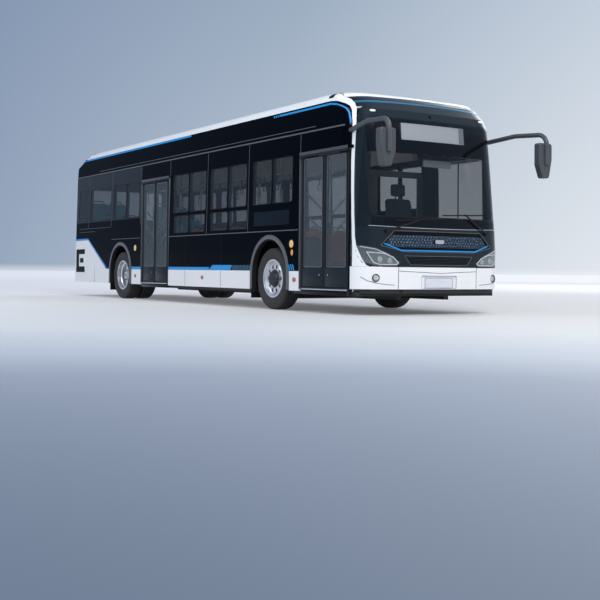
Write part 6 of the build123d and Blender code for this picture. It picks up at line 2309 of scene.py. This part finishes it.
@dataclass
class Interior:
    """Seats, driver's place, rails' grips and small equipment inside.

    Attributes:
        front_rows: Stations of the rows on the low floor.
        rear_rows: Station and height of the floor of the rows behind.
        rails: Stations of the posts.
        wheel: Middle of the steering wheel.
        tilt: Its tilt in degrees.
        low_floor: Height of the low floor.
        platform: Height of the platform's floor behind it.
        platform_edge: Station of the step between them.
        rail_offset: Offset of the posts and rails on both sides of the aisle.
        seat_offsets: Offset of the middle of each seat of a row.
    """

    front_rows: tuple[float, ...] = (-1.15, -1.95, -2.75)
    rear_rows: tuple[Flat, ...] = ((-7.05, 0.72), (-7.85, 1.05))
    rails: tuple[float, ...] = (-0.7, -1.5, -2.3, -3.1, -4.35, -5.25, -6.6)
    wheel: Point = (1.64, 0.62, 1.205)
    tilt: float = 28.0
    low_floor: float = 0.322
    platform: float = 0.720
    platform_edge: float = -5.0
    rail_offset: float = 0.30
    seat_offsets: tuple[float, ...] = (-0.9745, -0.5495, 0.5495, 0.9745)

    def leant(self, points: Array, low: float) -> Array:
        """Lean points rearwards as a seat's back does: 75 mm at 530 mm above a height.

        Args:
            points: Rows of station, offset and height.
            low: The height where the lean starts.

        Returns:
            The leant points.
        """
        return points - np.outer(0.075 * (points[:, 2] - low) / 0.53, FORWARD)

    def seats(self, rows: list[Flat], name: str, finish: Finish) -> None:
        """Pads and grab handles of some rows, two seats on each side of the aisle.

        Args:
            rows: Station and floor height of each row.
            name: How the pieces are named.
            finish: The finish of the pads.
        """
        pads, handles = Form(), Form()
        for x, base in rows:
            for y in self.seat_offsets:
                seat = rounded_block((x - 0.185, y - 0.190, base + 0.466),
                                     (x + 0.190, y + 0.190, base + 0.488), 0.010)
                back = rounded_block((x - 0.194, y - 0.185, base + 0.52),
                                     (x - 0.165, y + 0.185, base + 0.93), 0.012)
                pads.join(seat, back.moved(lambda p: self.leant(p, base + 0.47)))
                top = x - 0.208 - 0.075 - 0.004
                path = bend([(top, y - 0.13, base + 0.985), (top, y - 0.13, base + 1.055),
                             (top, y + 0.13, base + 1.055), (top, y + 0.13, base + 0.985)], 0.035, 5)
                handles.join(tube(path, 0.011, 10))
        pads.piece(f"{name}_seat_pads", finish)
        handles.piece(f"{name}_seat_handles", Finishes.grip)

    def driver_place(self) -> None:
        """The blank screens, silver edges, switches, hub and headrest of the driver's place."""
        block_piece("blank_cluster", Finishes.screen_dark,
                    (1.891, 0.455, 1.190), (1.899, 0.775, 1.275), 0.003)
        block_piece("blank_side_screen", Finishes.screen_dark,
                    (1.822, 0.180, 1.015), (1.830, 0.370, 1.150), 0.003)
        edges = Form()
        for y0, y1 in ((0.165, 0.385), (0.905, 1.150)):
            path = bend([(1.826, y0, 1.168), (1.826, y1, 1.168), (1.826, y1, 0.930), (1.826, y0, 0.930),
                         (1.826, y0, 1.160)], 0.03, 5)
            edges.join(tube(path, 0.007, 10))
        edges.piece("dash_silver_edges", Finishes.silver_trim)
        dark, red = Form(), Form()
        for row, z in enumerate((1.115, 1.065, 1.015)):
            for column in range(4):
                y = 0.945 + 0.050 * column
                target = red if (row, column) == (0, 0) else dark
                target.join(rounded_block((1.818, y, z), (1.830, y + 0.038, z + 0.034), 0.004, 3))
        red.join(rounded_block((1.812, 0.200, 0.955), (1.832, 0.270, 0.990), 0.005, 3))
        dark.piece("dash_switches", Finishes.gloss_black)
        red.piece("dash_red_switches", Finishes.hammer)
        lean = math.radians(self.tilt)
        axis = (-math.sin(lean), 0.0, math.cos(lean))
        ring = hoop([(0.016, 0.078), (0.024, 0.078), (0.025, 0.073), (0.016, 0.071)], self.wheel, axis, 40)
        ring.piece("steering_silver_ring", Finishes.silver_trim, "steering_wheel")
        pad = lathe([(0.0, 0.0712), (0.020, 0.0705), (0.026, 0.055), (0.028, 0.002)], self.wheel, axis, 40)
        pad.piece("steering_hub_pad", Finishes.leather, "steering_wheel")
        badge = lathe([(0.026, 0.020), (0.0305, 0.020), (0.0315, 0.017)], self.wheel, axis, 28)
        badge.piece("steering_bare_badge", Finishes.silver_trim, "steering_wheel")
        points = corners_of("driver_seat")
        high = points[points[:, 2] > points[:, 2].max() - 0.03]
        x, z = float(high[:, 0].mean()), float(points[:, 2].max())
        rest = rounded_block((x - 0.045, 0.50, z + 0.045), (x + 0.050, 0.75, z + 0.235), 0.035)
        rest.join(rounded_block((x - 0.012, 0.575, z - 0.03), (x + 0.008, 0.590, z + 0.07), 0.004, 2))
        rest.join(rounded_block((x - 0.012, 0.660, z - 0.03), (x + 0.008, 0.675, z + 0.07), 0.004, 2))
        rest.piece("driver_headrest", Finishes.cloth)
        roll = tube(np.array([(0.96, 1.185, 2.300), (1.50, 1.185, 2.300), (2.02, 1.185, 2.300)]), 0.022, 12)
        roll.piece("driver_window_blind_roll", Finishes.shade)
        block_piece("driver_window_divider", Finishes.seal,
                    (1.515, 1.2055, 1.275), (1.540, 1.2150, 2.320), 0.003, 2)
        block_piece("sun_visor", Finishes.shade,
                    (2.02, 0.10, 2.13), (2.06, 0.62, 2.24), 0.02)

    def rail_parts(self) -> None:
        """Black grips on the posts and hanging loops on the rails."""
        grips = Form()
        for x in self.rails:
            for y in (-self.rail_offset, self.rail_offset):
                base = self.low_floor if x > self.platform_edge else self.platform
                grips.join(hoop([(0.0, 0.0235), (0.30, 0.0235), (0.30, 0.0175), (0.0, 0.0175)],
                                (x, y, base + 0.80), UPWARD, 14))
        grips.piece("post_grips", Finishes.grip)
        strap = rounded_block((-0.014, -0.003, -0.175), (0.014, 0.003, 0.016), 0.002, 2)
        loop = bend([(-0.055, 0.0, -0.172), (0.0, 0.0, -0.150), (0.055, 0.0, -0.172), (0.048, 0.0, -0.262),
                     (-0.048, 0.0, -0.262), (-0.055, 0.0, -0.176)], 0.018, 4)
        strap.join(tube(loop, 0.007, 8))
        spots = np.array([(x, y, 2.25) for y in (-self.rail_offset, self.rail_offset)
                          for x in np.arange(-6.9, -0.8, 0.42)])
        lattice(spots, strap).piece("hanging_loops", Finishes.grip)

    def equipment(self) -> None:
        """Boxes, hammers, camera, lights, mats and the card reader."""
        boxes = Form()
        for x, y in ((-0.93, -0.36), (-0.93, 0.36)):
            boxes.join(rounded_block((x - 0.09, y - 0.08, 0.321), (x + 0.09, y + 0.08, 0.80), 0.02))
        boxes.piece("yellow_floor_boxes", Finishes.yellow)
        hammers = Form()
        for x in (-2.176, -0.712, -6.60):
            for side in (-1, 1):
                low, high = sorted((side * 1.2155, side * 1.190))
                hammers.join(rounded_block((x - 0.022, low, 1.80), (x + 0.022, high, 1.98), 0.006, 3))
        hammers.piece("emergency_hammers", Finishes.hammer)
        dome = lathe(bulge(0.0, 0.055, 0.060), (-1.05, 0.0, 2.741), (0, 0, -1), 28)
        dome.piece("ceiling_dome_camera", Finishes.gloss_black)
        lights = Form()
        for y in (-0.56, 0.56):
            lights.join(rounded_block((-8.0, y - 0.06, 2.728), (0.2, y + 0.06, 2.742), 0.005, 2))
        lights.piece("ceiling_light_strips", Finishes.tube_light)
        block_piece("entry_mat", Finishes.mat,
                    (0.95, -1.080, 0.3215), (1.90, -0.45, 0.3255), 0.001, 2)
        block_piece("platform_edge_strip", Finishes.yellow,
                    (-5.050, -0.55, 0.7195), (-4.985, 0.55, 0.7245), 0.002, 2)
        block_piece("card_reader", Finishes.orange,
                    (-0.775, -0.355, 1.30), (-0.665, -0.245, 1.53), 0.015)

    def coverings(self) -> None:
        """The grey floor covering: aisle, entry, platform and pedestal."""
        sheets = Form()
        low = self.low_floor
        for x0, x1, y0, y1, z in ((-5.03, 0.66, -0.60, 0.60, low), (0.66, 2.10, -0.60, 0.06, low),
                                  (-6.90, -5.07, -0.55, 0.55, self.platform),
                                  (-8.30, -7.30, -0.55, 0.55, 1.050), (-4.95, -3.76, -1.09, -0.60, low)):
            sheets.join(rounded_block((x0, y0, z - 0.0005), (x1, y1, z + 0.0025), 0.001, 2))
        sheets.piece("floor_covering", Finishes.floor)

    def build(self) -> None:
        """Make everything inside."""
        self.coverings()
        self.seats([(x, self.low_floor) for x in self.front_rows], "front", Finishes.orange)
        self.seats(list(self.rear_rows), "rear", Finishes.cyan)
        self.driver_place()
        self.rail_parts()
        self.equipment()


@dataclass
class RoofDressing:
    """The deck, and the guards over the fans.

    Attributes:
        fans: Stations of the fans.
        top: Height of the unit that they lie in.
    """

    fans: tuple[float, ...] = (-1.75, -1.10, -0.45)
    top: float = 3.175

    def deck(self) -> bpy.types.Object:
        """The roof deck with its front corners cut back, so that it stays under the dome.

        Returns:
            The piece that stands for the construction node.
        """
        shape = bmesh.new()
        shape.from_mesh(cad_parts["roof"].data)
        for side in (-1, 1):
            normal = Vector((0.48, side * 0.385, 0.0)).normalized()
            place = Vector((FRONT_AXLE + 1.80, side * 1.18, 0.0))
            cut = bmesh.ops.bisect_plane(shape, geom=[*shape.verts, *shape.edges, *shape.faces],
                                         plane_co=place, plane_no=normal, clear_outer=True)
            rim = [item for item in cut["geom_cut"] if isinstance(item, bmesh.types.BMEdge)]
            bmesh.ops.holes_fill(shape, edges=rim, sides=0)
        bmesh.ops.triangulate(shape, faces=shape.faces[:])
        shape.verts.index_update()
        points = np.array([tuple(corner.co) for corner in shape.verts]) - [FRONT_AXLE, 0.0, 0.0]
        faces = np.array([[corner.index for corner in face.verts] for face in shape.faces])
        shape.free()
        return Form().add(points, faces).piece("roof_deck", Finishes.lining, smooth=20.0)

    def build(self) -> None:
        """Make the deck, the fans' wells and their guards."""
        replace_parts(self.deck(), "roof")
        guards, wells = Form(), Form()
        for x in self.fans:
            centre = (x, 0.0, self.top)
            wells.join(lathe([(-0.004, 0.205), (0.0012, 0.205)], centre, UPWARD, 40))
            for radius in (0.055, 0.095, 0.135, 0.175, 0.205):
                outer, inner = radius + 0.004, radius - 0.004
                section = [(0.0, outer), (0.010, outer), (0.010, inner), (0.0, inner)]
                guards.join(hoop(section, centre, UPWARD, 40))
            for angle in np.arange(4) * math.pi / 4:
                reach = 0.212 * np.array([math.cos(angle), math.sin(angle), 0.0])
                ends = np.array(centre) + [0.0, 0.0, 0.009] + np.outer([-1.0, 0.0, 1.0], reach)
                guards.join(tube(ends, 0.0045, 6))
        wells.piece("fan_wells", Finishes.iron)
        guards.piece("fan_guards", Finishes.seal)


NODE_FINISHES = {
    "side_wall_right": Finishes.body, "side_wall_left": Finishes.body, "rear_wall": Finishes.body,
    "rear_lid": Finishes.body, "roof_fairings": Finishes.body, "windows": Finishes.side_glass,
    "windshield": Finishes.screen_glass, "front_mask": Finishes.mask, "sign_boards": Finishes.display,
    "roof_units": Finishes.unit, "roof_hatch": Finishes.unit,
    "lower_panels": Finishes.white, "wheel_arches": Finishes.liner, "floor": Finishes.iron,
    "drive_block": Finishes.iron, "axle_front": Finishes.iron, "axle_rear": Finishes.iron,
    "knuckle_left": Finishes.iron, "knuckle_right": Finishes.iron, "mirrors": Finishes.mirror_case,
    "wipers": Finishes.seal, "signal_lamps": Finishes.amber, "headlamps": Finishes.lamp_dark,
    "dash": Finishes.dash, "driver_seat": Finishes.cloth, "cab_partition": Finishes.panel,
    "cab_door": Finishes.panel, "passenger_seats_front": Finishes.orange,
    "passenger_seats_rear": Finishes.cyan, "handrails": Finishes.steel, "ceiling_ducts": Finishes.duct,
    "steering_wheel": Finishes.leather,
    "rim_front_left": Finishes.alloy, "rim_front_right": Finishes.alloy,
    "rim_rear_left": Finishes.alloy, "rim_rear_right": Finishes.alloy,
    "tyre_front_left": Finishes.tyre, "tyre_front_right": Finishes.tyre,
    "tyres_rear_left": Finishes.tyre, "tyres_rear_right": Finishes.tyre,
}
LEAF_ENDS = ("rear", "fore")


def dress_nodes() -> None:
    """Give every construction node that stays in view its finish."""
    for node, finish in NODE_FINISHES.items():
        painted(node, finish)
    for door in DOOR_SETS:
        for end in LEAF_ENDS:
            painted(f"{door}_column_{end}", Finishes.steel)
            painted(f"{door}_leaf_{end}", Finishes.door)
            painted(f"{door}_pane_{end}", Finishes.door_glass)


def main() -> None:
    """Build the studio and every part of the bus, in order."""
    logging.basicConfig(level=logging.INFO)
    Studio().build()
    dress_nodes()
    Livery().build()
    SideTrim().build()
    WheelDress().build()
    DoorDressing().build()
    FrontFace().build()
    SideLamps().build()
    MirrorDress().build()
    RearFace().build()
    Interior().build()
    RoofDressing().build()


if __name__ == "__main__":
    main()
